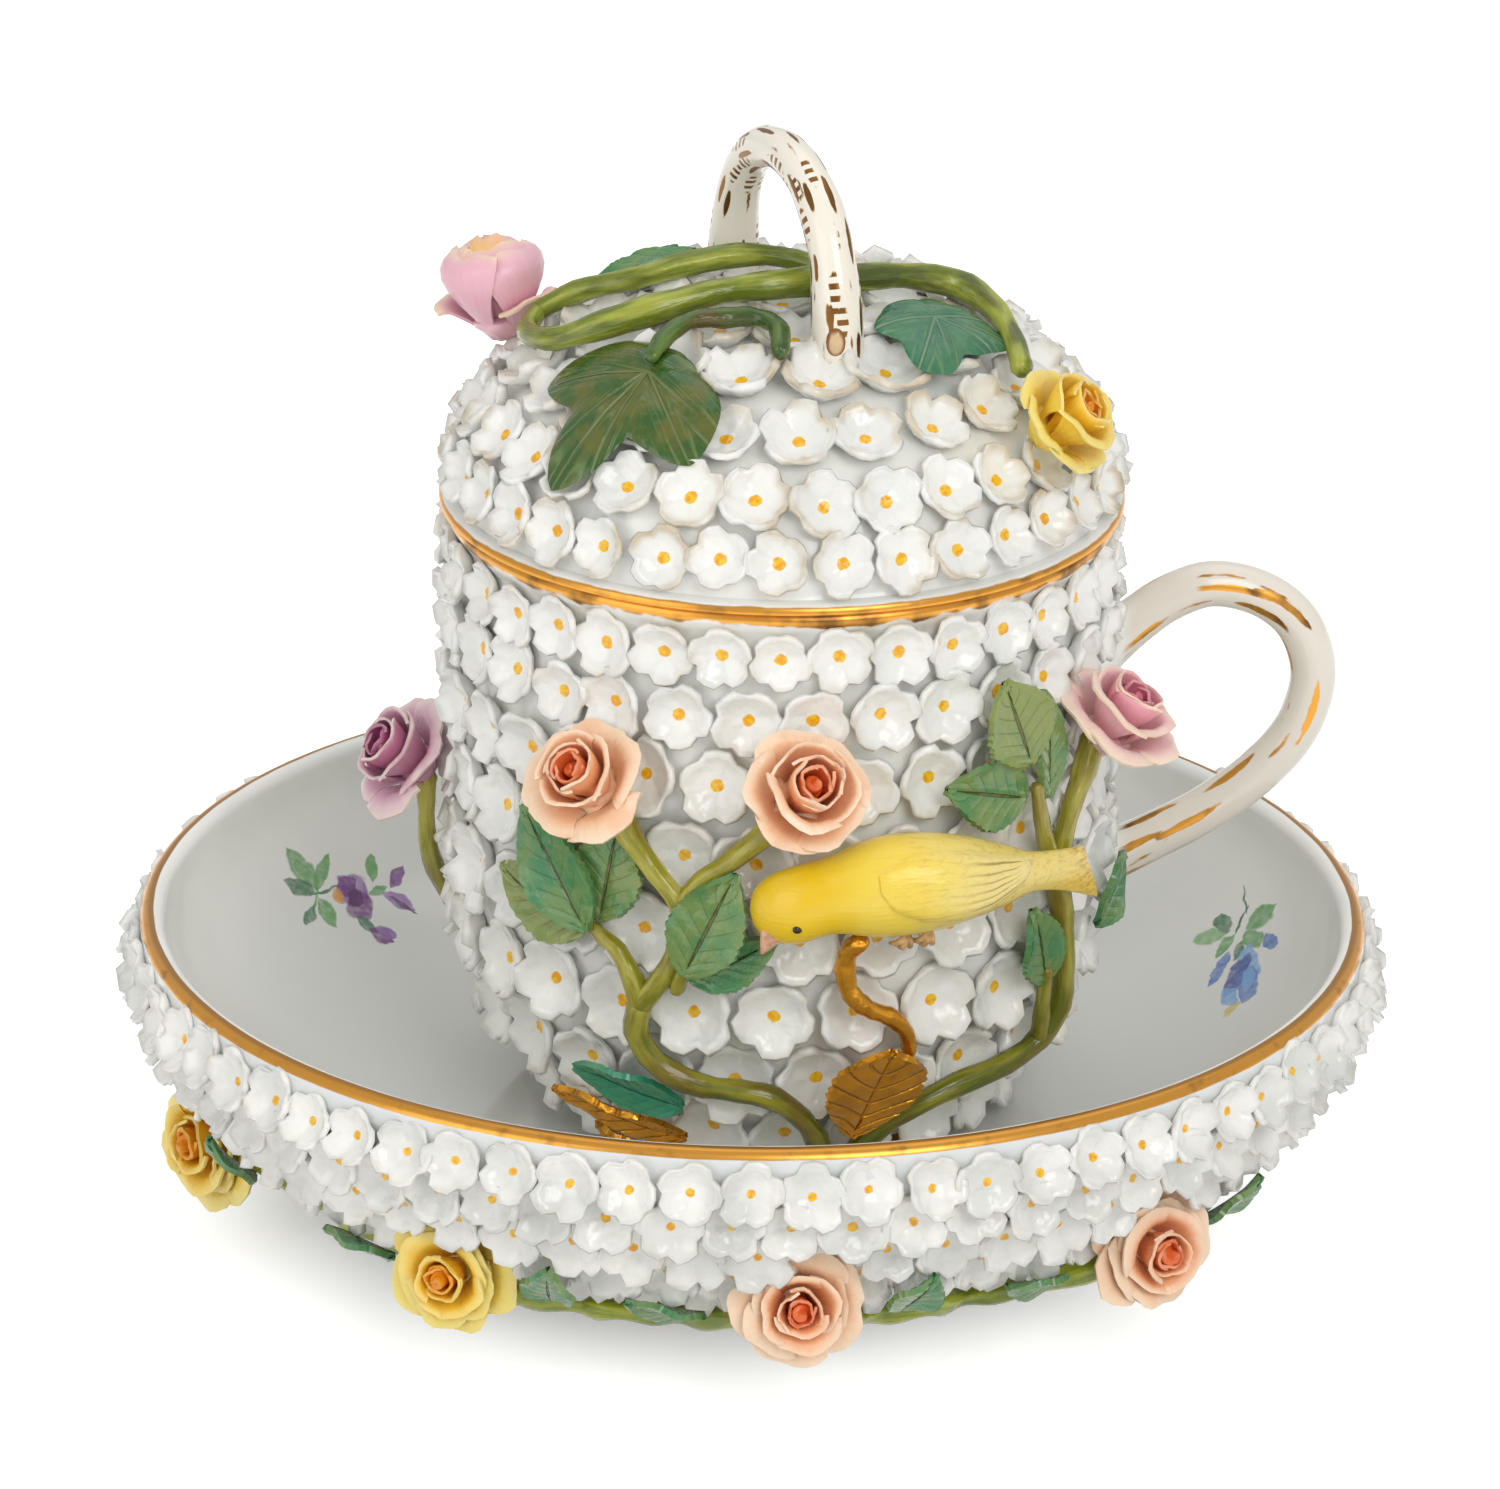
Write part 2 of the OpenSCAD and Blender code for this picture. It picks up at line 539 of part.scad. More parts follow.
module side_rose_branch() {
    color(olive)
        cup_stem([[-104, 8, stem_off, stem_r], [-106, 17, stem_off, stem_r],
            [-103, 27, stem_off, stem_r], [-96, 35, stem_off, 1.3],
            [-90, 42, stem_off, 1.2], [-87, 49.5, stem_off, 1.2]]);
}
module gilt_twig() {
    color(gilt)
        cup_stem([[12.6, 49, stem_off + 2.4, 1.2], [11.2, 46.5, stem_off + 0.8, 1.2],
            [11, 43, stem_off, 1.2], [12, 39.5, stem_off, 1.2], [15, 37.3, stem_off, 1.2],
            [18.5, 36.3, stem_off, 1.2]], 3);
}
module peach_rose_left() { color(peach) cup_rose(-29.5, 72.5, 0.95); }
module peach_rose_middle() { color(peach) cup_rose(3.8, 74.2, 1.02); }
module pink_rose_right() { color(pink) cup_rose(61.5, 74.3, 0.95); }
module mauve_rose_side() { color(mauve) cup_rose(-86, 57.3, 0.95); }
module left_leaves() {
    color(leaf_green)
        cup_leaves([[-31, 46.5, 0.7, 15, 9, 164], [-30.5, 47, 2.3, 17, 9.5, 124],
            [-29.3, 48.3, 0.7, 12.5, 8, 84]]);
}
module middle_leaves() {
    color(leaf_green)
        cup_leaves([[-14, 43, 3.4, 14, 8.8, 72], [-13.6, 40.6, 0.7, 10.5, 6, 22]]);
}
module upper_right_leaves() {
    color(olive)
        cup_leaves([[43, 66.5, 0.7, 11.5, 8, 165], [42.5, 72.5, 1.9, 12.5, 9.5, 120],
            [48.2, 65.2, 0.7, 13.5, 5, 92]]);
}
module lower_right_leaves() {
    color(leaf_green)
        cup_leaves([[50.5, 34, 0.7, 12, 6.5, 112], [66, 38.5, 0.7, 11, 7, 30]]);
}
module teal_leaf() { color(teal) cup_leaves([[-17.5, 19.2, 0.7, 13.5, 5, 167]]); }
module gilt_low_leaves() {
    color(gilt)
        cup_leaves([[-18, 12.6, 0.7, 18, 4.2, 170], [-22, 7.2, 0.7, 11, 3.4, 172]]);
}
module gilt_leaf() { color(gilt) cup_leaves([[15.5, 16.8, 0.9, 13.8, 11.5, 82]]); }
module canary() { color(yellow) canary_body(); }

module lid_vine() {
    color(olive) {
        lid_stem([[-30.24, 0.98, vine_off, 1.3], [-31.22, -4.39, vine_off, 1.5],
            [-27.8, -10.24, vine_off, 1.9], [-21.46, -11.71, vine_off, vine_r],
            [-14.63, -11.22, vine_off, vine_r], [-7.8, -9.56, vine_off, vine_r],
            [0, -8.29, vine_off, vine_r], [7.8, -5.37, vine_off, vine_r],
            [14.63, -1.46, vine_off, vine_r], [20.98, 0.78, vine_off, vine_r],
            [25.37, -2.44, vine_off, 1.9], [27.8, -8.78, vine_off, 1.7], [28.78, -14.15, vine_off, 1.5]]);
        lid_stem([[-30.24, 0.98, vine_off, 1.3], [-25.37, 1.17, vine_off, 1.6],
            [-18.54, -0.98, vine_off, 1.8], [-11.71, 0.49, vine_off, 1.8], [-3.9, 1.46, vine_off, 1.6],
            [2.93, -1.46, vine_off, 1.6], [7.8, -5.37, vine_off, 1.8]]);
    }
}
module lid_leaf_stem() {
    color(leaf_green)
        lid_stem([[-0.49, -21.95, stem_off - 0.2, 1.3], [-0.78, -17.56, stem_off, 1.4],
            [-3.41, -15.22, stem_off, 1.4], [-7.32, -14.93, stem_off, 1.4],
            [-10.73, -15.8, stem_off, 1.3]]);
}
lid_bend = dome_r - 5;
// Lobes of the two vine leaves: bearing in degrees and distance from the middle of the leaf
front_lobes = [[0, 5], [18, 8.5], [30, 4.5], [62, 5], [95, 4.5], [140, 8], [165, 13.5],
    [185, 11], [205, 8], [225, 12], [245, 16], [262, 12], [275, 7], [295, 11.5], [312, 14],
    [332, 9]];
right_lobes = [[10, 6], [35, 6], [60, 4.5], [95, 5.5], [130, 6.5], [155, 8.5], [180, 7],
    [205, 10.5], [228, 10], [250, 6.5], [285, 8], [310, 10.5], [335, 8.5]];
module lid_front_leaf() {
    color(leaf_green) skins([lobed_rings(lid_frame(-16.2, -22.44, over_h + 1), front_lobes,
        lid_bend, 1.12 * lid_unit)]);
}
module lid_right_leaf() {
    color(teal) skins([lobed_rings(lid_frame(18.05, -11.22, over_h + 0.7), right_lobes,
        lid_bend, lid_unit)]);
}
module lid_back_leaves() {
    color(leaf_green)
        skins([for (p = [[-10.73, 6.34, 15.61, 6.34, 183, 1], [-13.17, 12.68, 8.78, 4.88, 170, 0.6]])
            leaf_rings(lid_frame(p[0], p[1], over_h + p[5]), p[2] * lid_unit,
                p[3] * lid_unit, p[4] - atan2(p[0], -p[1]), [lid_bend, lid_bend])]);
}
module lid_pink_rose() { color(pink) lid_rose(-34.15, 7.8, 1, 15); }
module lid_yellow_rose() { color(yellow) lid_rose(33.66, -22.44, 0.95, -5); }

// The wreath under the saucer: a stem from each rose to the next one, and two leaves by each
saucer_ring = [-158, -115, -75, -31, 5, 44.5, 115, 158];
saucer_vine_line = [[0.2, 52], [0.3, 59], [0.5, 63.5], [0.7, 59], [0.8, 52]];
module saucer_vine() {
    n = len(saucer_ring);
    color(olive)
        for (i = [0 : n - 1]) let (
            a = saucer_ring[i],
            b = saucer_ring[(i + 1) % n] + (i == n - 1 ? 360 : 0),
            path = [for (p = saucer_vine_line) [a + (b - a) * p[0], p[1], stem_off, 1.3]])
            stem([for (p = smooth(path, 2)) [saucer_at(p[0], p[1], p[2]), p[3]]]);
}
module saucer_leaves() {
    color(leaf_green)
        skins([for (a = saucer_ring) for (p = [[10.5, 44, 76], [-9.5, 46.5, 165]])
            leaf_rings(saucer_frame(a + p[0], p[1], over_h + 0.5), small_rose_r * 1.32,
                small_rose_r * 0.86, p[2], [saucer_r, saucer_bend_r])]);
}
module saucer_yellow_roses() { color(yellow) saucer_roses(saucer_roses_yellow); }
module saucer_peach_roses() { color(peach) saucer_roses(saucer_roses_peach); }

saucer();
cup();
lid();
saucer_blossoms();
cup_blossoms();
lid_blossoms();
left_rose_branch();
right_rose_branch();
side_rose_branch();
gilt_twig();
peach_rose_left();
peach_rose_middle();
pink_rose_right();
mauve_rose_side();
left_leaves();
middle_leaves();
upper_right_leaves();
lower_right_leaves();
teal_leaf();
gilt_low_leaves();
gilt_leaf();
canary();
lid_vine();
lid_leaf_stem();
lid_front_leaf();
lid_right_leaf();
lid_back_leaves();
lid_pink_rose();
lid_yellow_rose();
saucer_vine();
saucer_leaves();
saucer_yellow_roses();
saucer_peach_roses();
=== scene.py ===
"""Dresses the covered cup and saucer: glazed porcelain, applied blossoms, sprays, leaves and a bird."""

import math
import random
from functools import partial
from types import SimpleNamespace

import bpy
import numpy as np
from bpy.props import FloatProperty, FloatVectorProperty, PointerProperty
from bpy.types import Operator, Panel, PropertyGroup
from mathutils import Matrix, Vector


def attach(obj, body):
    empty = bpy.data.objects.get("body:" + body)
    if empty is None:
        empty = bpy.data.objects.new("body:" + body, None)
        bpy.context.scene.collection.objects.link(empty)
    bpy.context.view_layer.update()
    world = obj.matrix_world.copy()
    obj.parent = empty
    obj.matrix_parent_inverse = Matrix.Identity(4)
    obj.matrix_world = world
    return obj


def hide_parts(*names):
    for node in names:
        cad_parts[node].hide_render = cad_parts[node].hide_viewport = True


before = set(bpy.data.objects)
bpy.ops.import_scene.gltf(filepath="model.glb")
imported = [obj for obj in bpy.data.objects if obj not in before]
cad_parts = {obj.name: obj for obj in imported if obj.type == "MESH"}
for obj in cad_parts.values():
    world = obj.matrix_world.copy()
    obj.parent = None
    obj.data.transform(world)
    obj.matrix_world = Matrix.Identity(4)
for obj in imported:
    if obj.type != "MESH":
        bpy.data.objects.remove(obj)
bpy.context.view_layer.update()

bl_info = {
    "name": "Blossom cup dresser",
    "version": (1, 0, 0),
    "blender": (4, 5, 0),
    "location": "View3D > Sidebar > Blossom cup",
    "description": "Models the glazed pieces of a covered cup and saucer over their CAD frame",
    "category": "Object",
}

MM = 0.001
BODY = "root"


# Colours and sizes
def linear(hex_code):
    """An sRGB hex colour as linear RGBA"""
    parts = [int(hex_code[i : i + 2], 16) / 255 for i in (0, 2, 4)]
    return tuple(v / 12.92 if v <= 0.04045 else ((v + 0.055) / 1.055) ** 2.4 for v in parts) + (1.0,)


def size_prop(label, text, millimetres):
    return FloatProperty(name=label, description=text, default=millimetres * MM, unit="LENGTH", precision=4)


def colour_prop(label, text, hex_code):
    return FloatVectorProperty(
        name=label, description=text, default=linear(hex_code)[:3], subtype="COLOR", size=3, min=0, max=1
    )


class BLOSSOMCUP_PG_sizes(PropertyGroup):
    """Sizes of the turned bodies and of the ornament, as the solids have them"""

    saucer_r: size_prop("Saucer radius", "Radius of the saucer at its rim", 78.6)
    saucer_h: size_prop("Saucer height", "Height of the saucer's rim above the table", 41)
    saucer_wall: size_prop("Saucer wall", "Thickness of the saucer at its rim", 3.2)
    saucer_foot_r: size_prop("Foot ring radius", "Radius of the saucer's foot ring", 35)
    saucer_foot_h: size_prop("Foot ring height", "Height of the foot ring", 10)
    seat_z: size_prop("Seat height", "Height of the saucer's floor, where the cup stands", 15.5)
    cup_aside: size_prop("Cup aside", "Distance of the cup from the saucer's middle", 3)
    cup_r: size_prop("Cup radius", "Radius of the cup at the belly", 40.2)
    cup_h: size_prop("Cup height", "Height of the cup from its foot to its rim", 81)
    cup_wall: size_prop("Cup wall", "Thickness of the cup's wall", 3)
    cup_foot_r: size_prop("Cup foot radius", "Radius of the cup's foot", 24)
    belly_h: size_prop("Belly height", "Height above the foot at which the wall turns straight", 36.5)
    cup_flare: size_prop("Flare", "How much wider the wall is at the top than at the belly", 0.8)
    lip_out: size_prop("Lip", "How far the gilt lip stands out", 1.5)
    lid_r: size_prop("Lid radius", "Radius of the lid's gilt edge", 43.3)
    dome_r: size_prop("Dome radius", "Radius of the dome", 41)
    dome_h: size_prop("Dome height", "Height of the dome above the gilt edge", 25)
    lid_edge: size_prop("Gilt edge", "Thickness of the lid's gilt edge", 1.5)
    blossom_h: size_prop("Blossom height", "Height of a blossom's petals above the wall", 2.9)
    over_h: size_prop("Spray height", "Height at which stems and leaves begin", 3.15)


class BLOSSOMCUP_PG_colours(PropertyGroup):
    """Colours of the glaze, the gilding and the enamels"""

    porcelain: colour_prop("Porcelain", "Glazed body", "F3F2EC")
    gold: colour_prop("Gold", "Burnished gilding", "DB9C42")
    # the worn gold's brown also darkens the inner side of the saucer's gilt rim as a painted reflection
    gold_brown: colour_prop("Worn gold", "Gilding rubbed to brown", "80592C")
    leaf_gold: colour_prop("Leaf gold", "Thick gilding on leaves and twig", "E6A232")
    stamen: colour_prop("Stamen", "Painted dot in each blossom", "F7C52A")
    stem: colour_prop("Stem", "Stems of the sprays", "8F8A1C")
    vine: colour_prop("Vine", "Vine on the lid", "66741A")
    canary: colour_prop("Canary", "Yellow of the bird", "F0D34C")


def sizes():
    """The sizes in millimetres, with those that follow from them"""
    group = bpy.context.scene.blossomcup_sizes
    s = SimpleNamespace(**{k: getattr(group, k) / MM for k in BLOSSOMCUP_PG_sizes.__annotations__})
    s.rim_z = s.seat_z + s.cup_h
    s.foot_line = 1.5
    s.belly_drop = (s.belly_h - s.foot_line) / math.sqrt(1 - (s.cup_foot_r / s.cup_r) ** 2)
    s.flare_slope = s.cup_flare / (s.cup_h - s.belly_h)
    s.mouth_r = s.cup_r + s.cup_flare - s.cup_wall
    s.collar_r = s.mouth_r - 0.5
    s.dome_z = s.rim_z + s.lid_edge
    s.bend_r = s.saucer_foot_r + 1
    s.bend_z = s.saucer_h - s.saucer_wall / 2
    s.lid_unit = s.dome_r / 40
    s.rose_r = s.cup_r * 0.194
    s.stem_off = s.over_h + 1.5
    return s


def colours():
    group = bpy.context.scene.blossomcup_colours
    return SimpleNamespace(
        **{k: tuple(getattr(group, k)) + (1.0,) for k in BLOSSOMCUP_PG_colours.__annotations__}
    )


# Places on the walls
def turned(angle, out, up):
    a = math.radians(angle)
    return Vector((out * math.sin(a), -out * math.cos(a), up))


def frame_at(angle, r, z, normal, off, aside):
    """A matrix of right, up and outward directions at a point of a turned wall"""
    n = Vector(normal).normalized()
    right = Vector((math.cos(math.radians(angle)), math.sin(math.radians(angle)), 0))
    out = turned(angle, n[0], n[1])
    up = out.cross(right)
    m = Matrix((right, up, out)).transposed().to_4x4()
    m.translation = turned(angle, r, z) + out * off + Vector((aside, 0, 0))
    return m


def cup_wall_r(s, z):
    if z < s.belly_h:
        return s.cup_r * math.sqrt(max(0.0, 1 - ((s.belly_h - z) / s.belly_drop) ** 2))
    return s.cup_r + s.flare_slope * (z - s.belly_h)


def cup_place(s, angle, percent, off):
    """On the cup: degrees round from the front, percent of the height, distance off the wall"""
    z = s.cup_h * percent / 100
    r = cup_wall_r(s, z)
    if z < s.belly_h:
        normal = (r / s.cup_r**2, (z - s.belly_h) / s.belly_drop**2)
    else:
        normal = (1, -s.flare_slope)
    return frame_at(angle, r, s.seat_z + z, normal, off, s.cup_aside)


def lid_place(s, x, y, off):
    """On the lid: plan position in fortieths of the dome's radius, distance off the dome"""
    r = math.hypot(x, y) * s.lid_unit
    side, rise = s.dome_r + off, s.dome_h + off
    z = rise * math.sqrt(max(0.0, 1 - (r / side) ** 2))
    return frame_at(
        math.degrees(math.atan2(x, -y)), r, s.dome_z + z, (r / side**2, z / rise**2), 0, s.cup_aside
    )


def saucer_place(s, angle, t, off):
    """Under the saucer's rim: degrees round from the front, 0 at the rim to 90 at the foot"""
    w, h = s.saucer_r - s.bend_r, s.bend_z - s.saucer_foot_h
    c, d = math.cos(math.radians(t)), math.sin(math.radians(t))
    return frame_at(angle, s.bend_r + w * c, s.bend_z - h * d, (c / w, -d / h), off, 0)


def tipped(m, tip):
    """The place tipped upward about its own right direction"""
    return m @ Matrix.Rotation(math.radians(-tip), 4, "X")


def facing(m, angle):
    """The place turned to face a direction round from the front, level with the table"""
    right = turned(angle + 90, 1, 0)
    out = turned(angle, 1, 0)
    level = Matrix((right, out.cross(right), out)).transposed().to_4x4()
    level.translation = m.translation
    return level


# Modelling with operators
def deselect():
    if bpy.context.object and bpy.context.object.mode != "OBJECT":
        bpy.ops.object.mode_set(mode="OBJECT")
    bpy.ops.object.select_all(action="DESELECT")


def pick(*pieces):
    """Select these pieces alone and make the first one active"""
    deselect()
    for piece in pieces:
        piece.select_set(True)
    bpy.context.view_layer.objects.active = pieces[0]


def points_of(piece):
    co = np.empty(len(piece.data.vertices) * 3)
    piece.data.vertices.foreach_get("co", co)
    return co.reshape(-1, 3)


def triples(columns, kind):
    """One flat list of triples, from three columns or from points as they are"""
    points = np.stack(np.broadcast_arrays(*columns), 1) if len(columns) == 3 else columns[0]
    return np.asarray(points, kind).ravel()


def put_points(piece, *columns):
    piece.data.vertices.foreach_set("co", triples(columns, float))
    piece.data.update()


def mark(piece, *columns):
    """Keep a place on the surface for each vertex, for the patterns to follow"""
    kept = piece.data.attributes
    marks = kept.get("surface") or kept.new("surface", "FLOAT_VECTOR", "POINT")
    marks.data.foreach_set("vector", triples(columns, np.float32))


def marks_of(piece):
    """The places on the surface that a piece's vertices keep"""
    values = np.empty(len(piece.data.vertices) * 3, np.float32)
    piece.data.attributes["surface"].data.foreach_get("vector", values)
    return values.reshape(-1, 3)


def modify(piece, kind, **settings):
    """Add a modifier and apply it"""
    pick(piece)
    bpy.ops.object.modifier_add(type=kind)
    modifier = piece.modifiers[-1]
    for key, value in settings.items():
        setattr(modifier, key, value)
    bpy.ops.object.modifier_apply(modifier=modifier.name)


def outward(piece):
    """Turn a closed piece's faces outward"""
    pick(piece)
    bpy.ops.object.mode_set(mode="EDIT")
    bpy.ops.mesh.select_all(action="SELECT")
    bpy.ops.mesh.normals_make_consistent(inside=False)
    bpy.ops.object.mode_set(mode="OBJECT")


def joined(pieces, name):
    """Join pieces into the first of them, under a new name"""
    pick(*pieces)
    if len(pieces) > 1:
        bpy.ops.object.join()
    pieces[0].name = pieces[0].data.name = name
    return pieces[0]


def copied(master, matrix):
    """A copy of a modelled piece with its own mesh, put in its place"""
    piece = master.copy()
    piece.data = master.data.copy()
    piece.data.transform(matrix)
    bpy.context.scene.collection.objects.link(piece)
    return piece


def scrap(*pieces):
    for p in pieces:
        mesh = p.data
        bpy.data.objects.remove(p)
        bpy.data.meshes.remove(mesh)


def set_down(piece, nodes, materials, angle=50):
    """Scale a piece from millimetres, smooth it, give it its glaze and tie it to the frame"""
    piece.data.transform(Matrix.Scale(MM, 4))
    pick(piece)
    bpy.ops.object.shade_smooth_by_angle(angle=math.radians(angle))
    if materials is not None:
        piece.data.materials.clear()
        for m in materials:
            piece.data.materials.append(m)
    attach(piece, BODY)
    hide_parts(*nodes)
    return piece


def lathe(outline, steps, aside):
    """Turn an outline of radius and height about the axis of the body"""
    deselect()
    bpy.ops.mesh.primitive_plane_add(size=1, location=(0, 0, 0))
    piece = bpy.context.object
    bpy.ops.object.mode_set(mode="EDIT")
    bpy.ops.mesh.select_all(action="SELECT")
    bpy.ops.mesh.merge(type="CENTER")
    bpy.ops.transform.translate(value=(outline[0][0] + aside, 0, outline[0][1]))
    for a, b in zip(outline, outline[1:]):
        bpy.ops.mesh.extrude_region_move(TRANSFORM_OT_translate={"value": (b[0] - a[0], 0, b[1] - a[1])})
    bpy.ops.mesh.select_all(action="SELECT")
    bpy.ops.mesh.spin(steps=steps, angle=math.tau, center=(aside, 0, 0), axis=(0, 0, 1))
    bpy.ops.mesh.select_all(action="SELECT")
    bpy.ops.mesh.remove_doubles(threshold=0.001)
    bpy.ops.mesh.normals_make_consistent(inside=False)
    bpy.ops.object.mode_set(mode="OBJECT")
    return piece


def ball(sides, rings):
    """A sphere to be moulded, with the ring and the angle of each vertex"""
    deselect()
    bpy.ops.mesh.primitive_uv_sphere_add(segments=sides, ring_count=rings, radius=1)
    piece = bpy.context.object
    co = points_of(piece)
    ring = np.rint(np.arccos(np.clip(co[:, 2], -1, 1)) / math.pi * rings).astype(int)
    return piece, ring, np.arctan2(co[:, 1], co[:, 0])


def sheet(across, along):
    """A grid to be moulded: s runs from -1 to 1 across, t from 0 to 1 along"""
    deselect()
    bpy.ops.mesh.primitive_grid_add(x_subdivisions=across, y_subdivisions=along, size=1)
    piece = bpy.context.object
    co = points_of(piece)
    return piece, co[:, 0] * 2, co[:, 1] + 0.5


def smooth_path(points, k):
    """A smooth line through chosen points, k steps for each stretch"""
    p = np.array(points, float)
    n = len(p)
    line = []
    for i in range(n - 1):
        p0, p1, p2, p3 = p[max(i - 1, 0)], p[i], p[i + 1], p[min(i + 2, n - 1)]
        for j in range(k):
            t = j / k
            line.append(
                0.5 * (
                    2 * p1
                    + (p2 - p0) * t
                    + (2 * p0 - 5 * p1 + 4 * p2 - p3) * t * t
                    + (3 * p1 - p0 - 3 * p2 + p3) * t**3
                )
            )
    line.append(p[-1])
    return np.array(line)


def rod(line, radii, sides=14, start=None, cap=0.9):
    """A rounded rod that follows a line, with a radius for each point; patterns get its run"""
    line, radii = np.array(line, float), np.array(radii, float)
    first, last = line[0] - line[1], line[-1] - line[-2]
    first = first / np.linalg.norm(first) * radii[0] * cap
    last = last / np.linalg.norm(last) * radii[-1] * cap
    path = np.vstack([line[0] + first, line[0] + first * 0.65, line, line[-1] + last * 0.65, line[-1] + last])
    rad = np.concatenate([[0, radii[0] * 0.72], radii, [radii[-1] * 0.72, 0]])
    n = len(path) - 1
    piece, ring, angle = ball(sides, n)
    ahead = np.gradient(path, axis=0)
    ahead /= np.linalg.norm(ahead, axis=1)[:, None]
    normal = np.array(start if start is not None else (0.0, 0.0, 1.0))
    normals = []
    for t in ahead:
        normal = normal - t * (normal @ t)
        normal = normal / np.linalg.norm(normal)
        normals.append(normal)
    normals = np.array(normals)
    side = np.cross(normals, ahead)
    run = np.concatenate([[0], np.cumsum(np.linalg.norm(np.diff(path, axis=0), axis=1))])
    c, d = np.cos(angle), np.sin(angle)
    q = rad[ring]
    co = path[ring] + normals[ring] * (q * c)[:, None] + side[ring] * (q * d)[:, None]
    put_points(piece, co)
    mark(piece, run[ring], q * c, q * d)
    return piece


# Shader help

# for the kinds of node that need it: settings other than Blender's own, the sockets that the feeds go
# to in order, and the output that is wanted.
USUAL = {
    "Bump": ({}, ("Height", "Distance"), 0),
    "MapRange": ({"interpolation_type": "SMOOTHSTEP"}, (0, 1, 2), 0),
    "Mix": ({"data_type": "RGBA"}, (0, 6, 7), 2),
    "SeparateXYZ": ({}, (0,), slice(3)),
    "TexNoise": ({}, ("Vector", "Scale", "Detail", "Roughness"), 0),
    "TexVoronoi": ({}, ("Vector", "Scale", "Randomness"), 0),
}


def feed(shader, socket, value):
    """Link one socket of a node to an output, or give it a value; a colour may be an sRGB hex code"""
    if isinstance(value, bpy.types.NodeSocket):
        shader.id_data.links.new(value, shader.inputs[socket])
    else:
        shader.inputs[socket].default_value = linear(value) if isinstance(value, str) else value


def node(tree, kind, *feeds, out=None, **settings):
    """Add a node with its settings and feeds, and give its output; capitals name a Math operation"""
    if kind.isupper():
        kind, settings["operation"] = "Math", kind
    usual, sockets, given = USUAL.get(kind, ({}, range(len(feeds)), 0))
    added = tree.nodes.new("ShaderNode" + kind)
    for key, value in {**usual, **settings}.items():
        setattr(added, key, value)
    for socket, value in zip(sockets, feeds):
        if value is not None:
            feed(added, socket, value)
    return added.outputs[given if out is None else out]


def material(name, roughness, metallic=0.0):
    """A new material, its Principled shader, and the node function for its tree"""
    m = bpy.data.materials.new(name)
    m.use_nodes = True
    bsdf = m.node_tree.nodes["Principled BSDF"]
    feed(bsdf, "Roughness", roughness)
    feed(bsdf, "Metallic", metallic)
    return m, bsdf, partial(node, m.node_tree)


def place(add, attribute=None, scale=(1, 1, 1)):
    """Object coordinates in millimetres, or a piece's own surface places; noise of scale 0.1 is 10 mm wide"""
    if attribute:
        source = add("Attribute", out="Vector", attribute_name=attribute)
        return add("Mapping", source, None, None, scale)
    source = add("TexCoord", out="Object")
    return add("Mapping", source, None, None, tuple(v / MM for v in scale))


def surface(add):
    """The three values that a piece's vertices are marked with"""
    return add("SeparateXYZ", add("Attribute", out="Vector", attribute_name="surface"))


def gilt_over(add, bsdf, mask, c, brown_share):
    """Lay burnished gold over a glaze where the mask is; the last argument is how far the gold turns to worn
    brown, and on the saucer's rim it also holds a painted reflection
    """
    gold = add("BsdfPrincipled", add("Mix", brown_share, c.gold, c.gold_brown), GILT_METAL, RIM_GILDING)
    mixed = add("MixShader", mask, bsdf.outputs[0], gold)
    feed(bsdf.id_data.nodes["Material Output"], "Surface", mixed)


# Finishes

# how rough each fired surface is: clear glaze melts to a mirror, enamel brushed over it stays softer
GLAZE, PRESSED_GLAZE, LEAF_ENAMEL, BIRD_ENAMEL, PETAL_ENAMEL = 0.13, 0.16, 0.14, 0.12, 0.3
# gilding is a thin film fired on glaze: less than wholly metallic, and burnished on leaves more than on rims
GILT_METAL, LEAF_GILDING, RIM_GILDING = 0.85, 0.27, 0.28


def glaze_colour(add, c, vector):
    """White body under clear glaze: slightly greyer and bluer in wide clouds about 15 mm across"""
    clouds = add("TexNoise", vector, 0.065, 2.0)
    return add("Mix", add("MapRange", clouds, 0.35, 0.75), c.porcelain, "E9EAE6")


def strokes(add, along, across, size, shift=0.0):
    """Long brush strokes down a rod, from its own run and its two directions across"""
    run = add("VectorMath", place(add, "surface", (along, across, across)), (shift, shift, 0))
    cells = add("TexVoronoi", run, 1.0, 0.8)
    bristle = add("TexNoise", place(add, "surface", (0.45, 1.3, 1.3)), 1.0, 3.0)
    return add("MapRange", add("MULTIPLY_ADD", bristle, 0.3, cells), size + 0.18, size + 0.12)


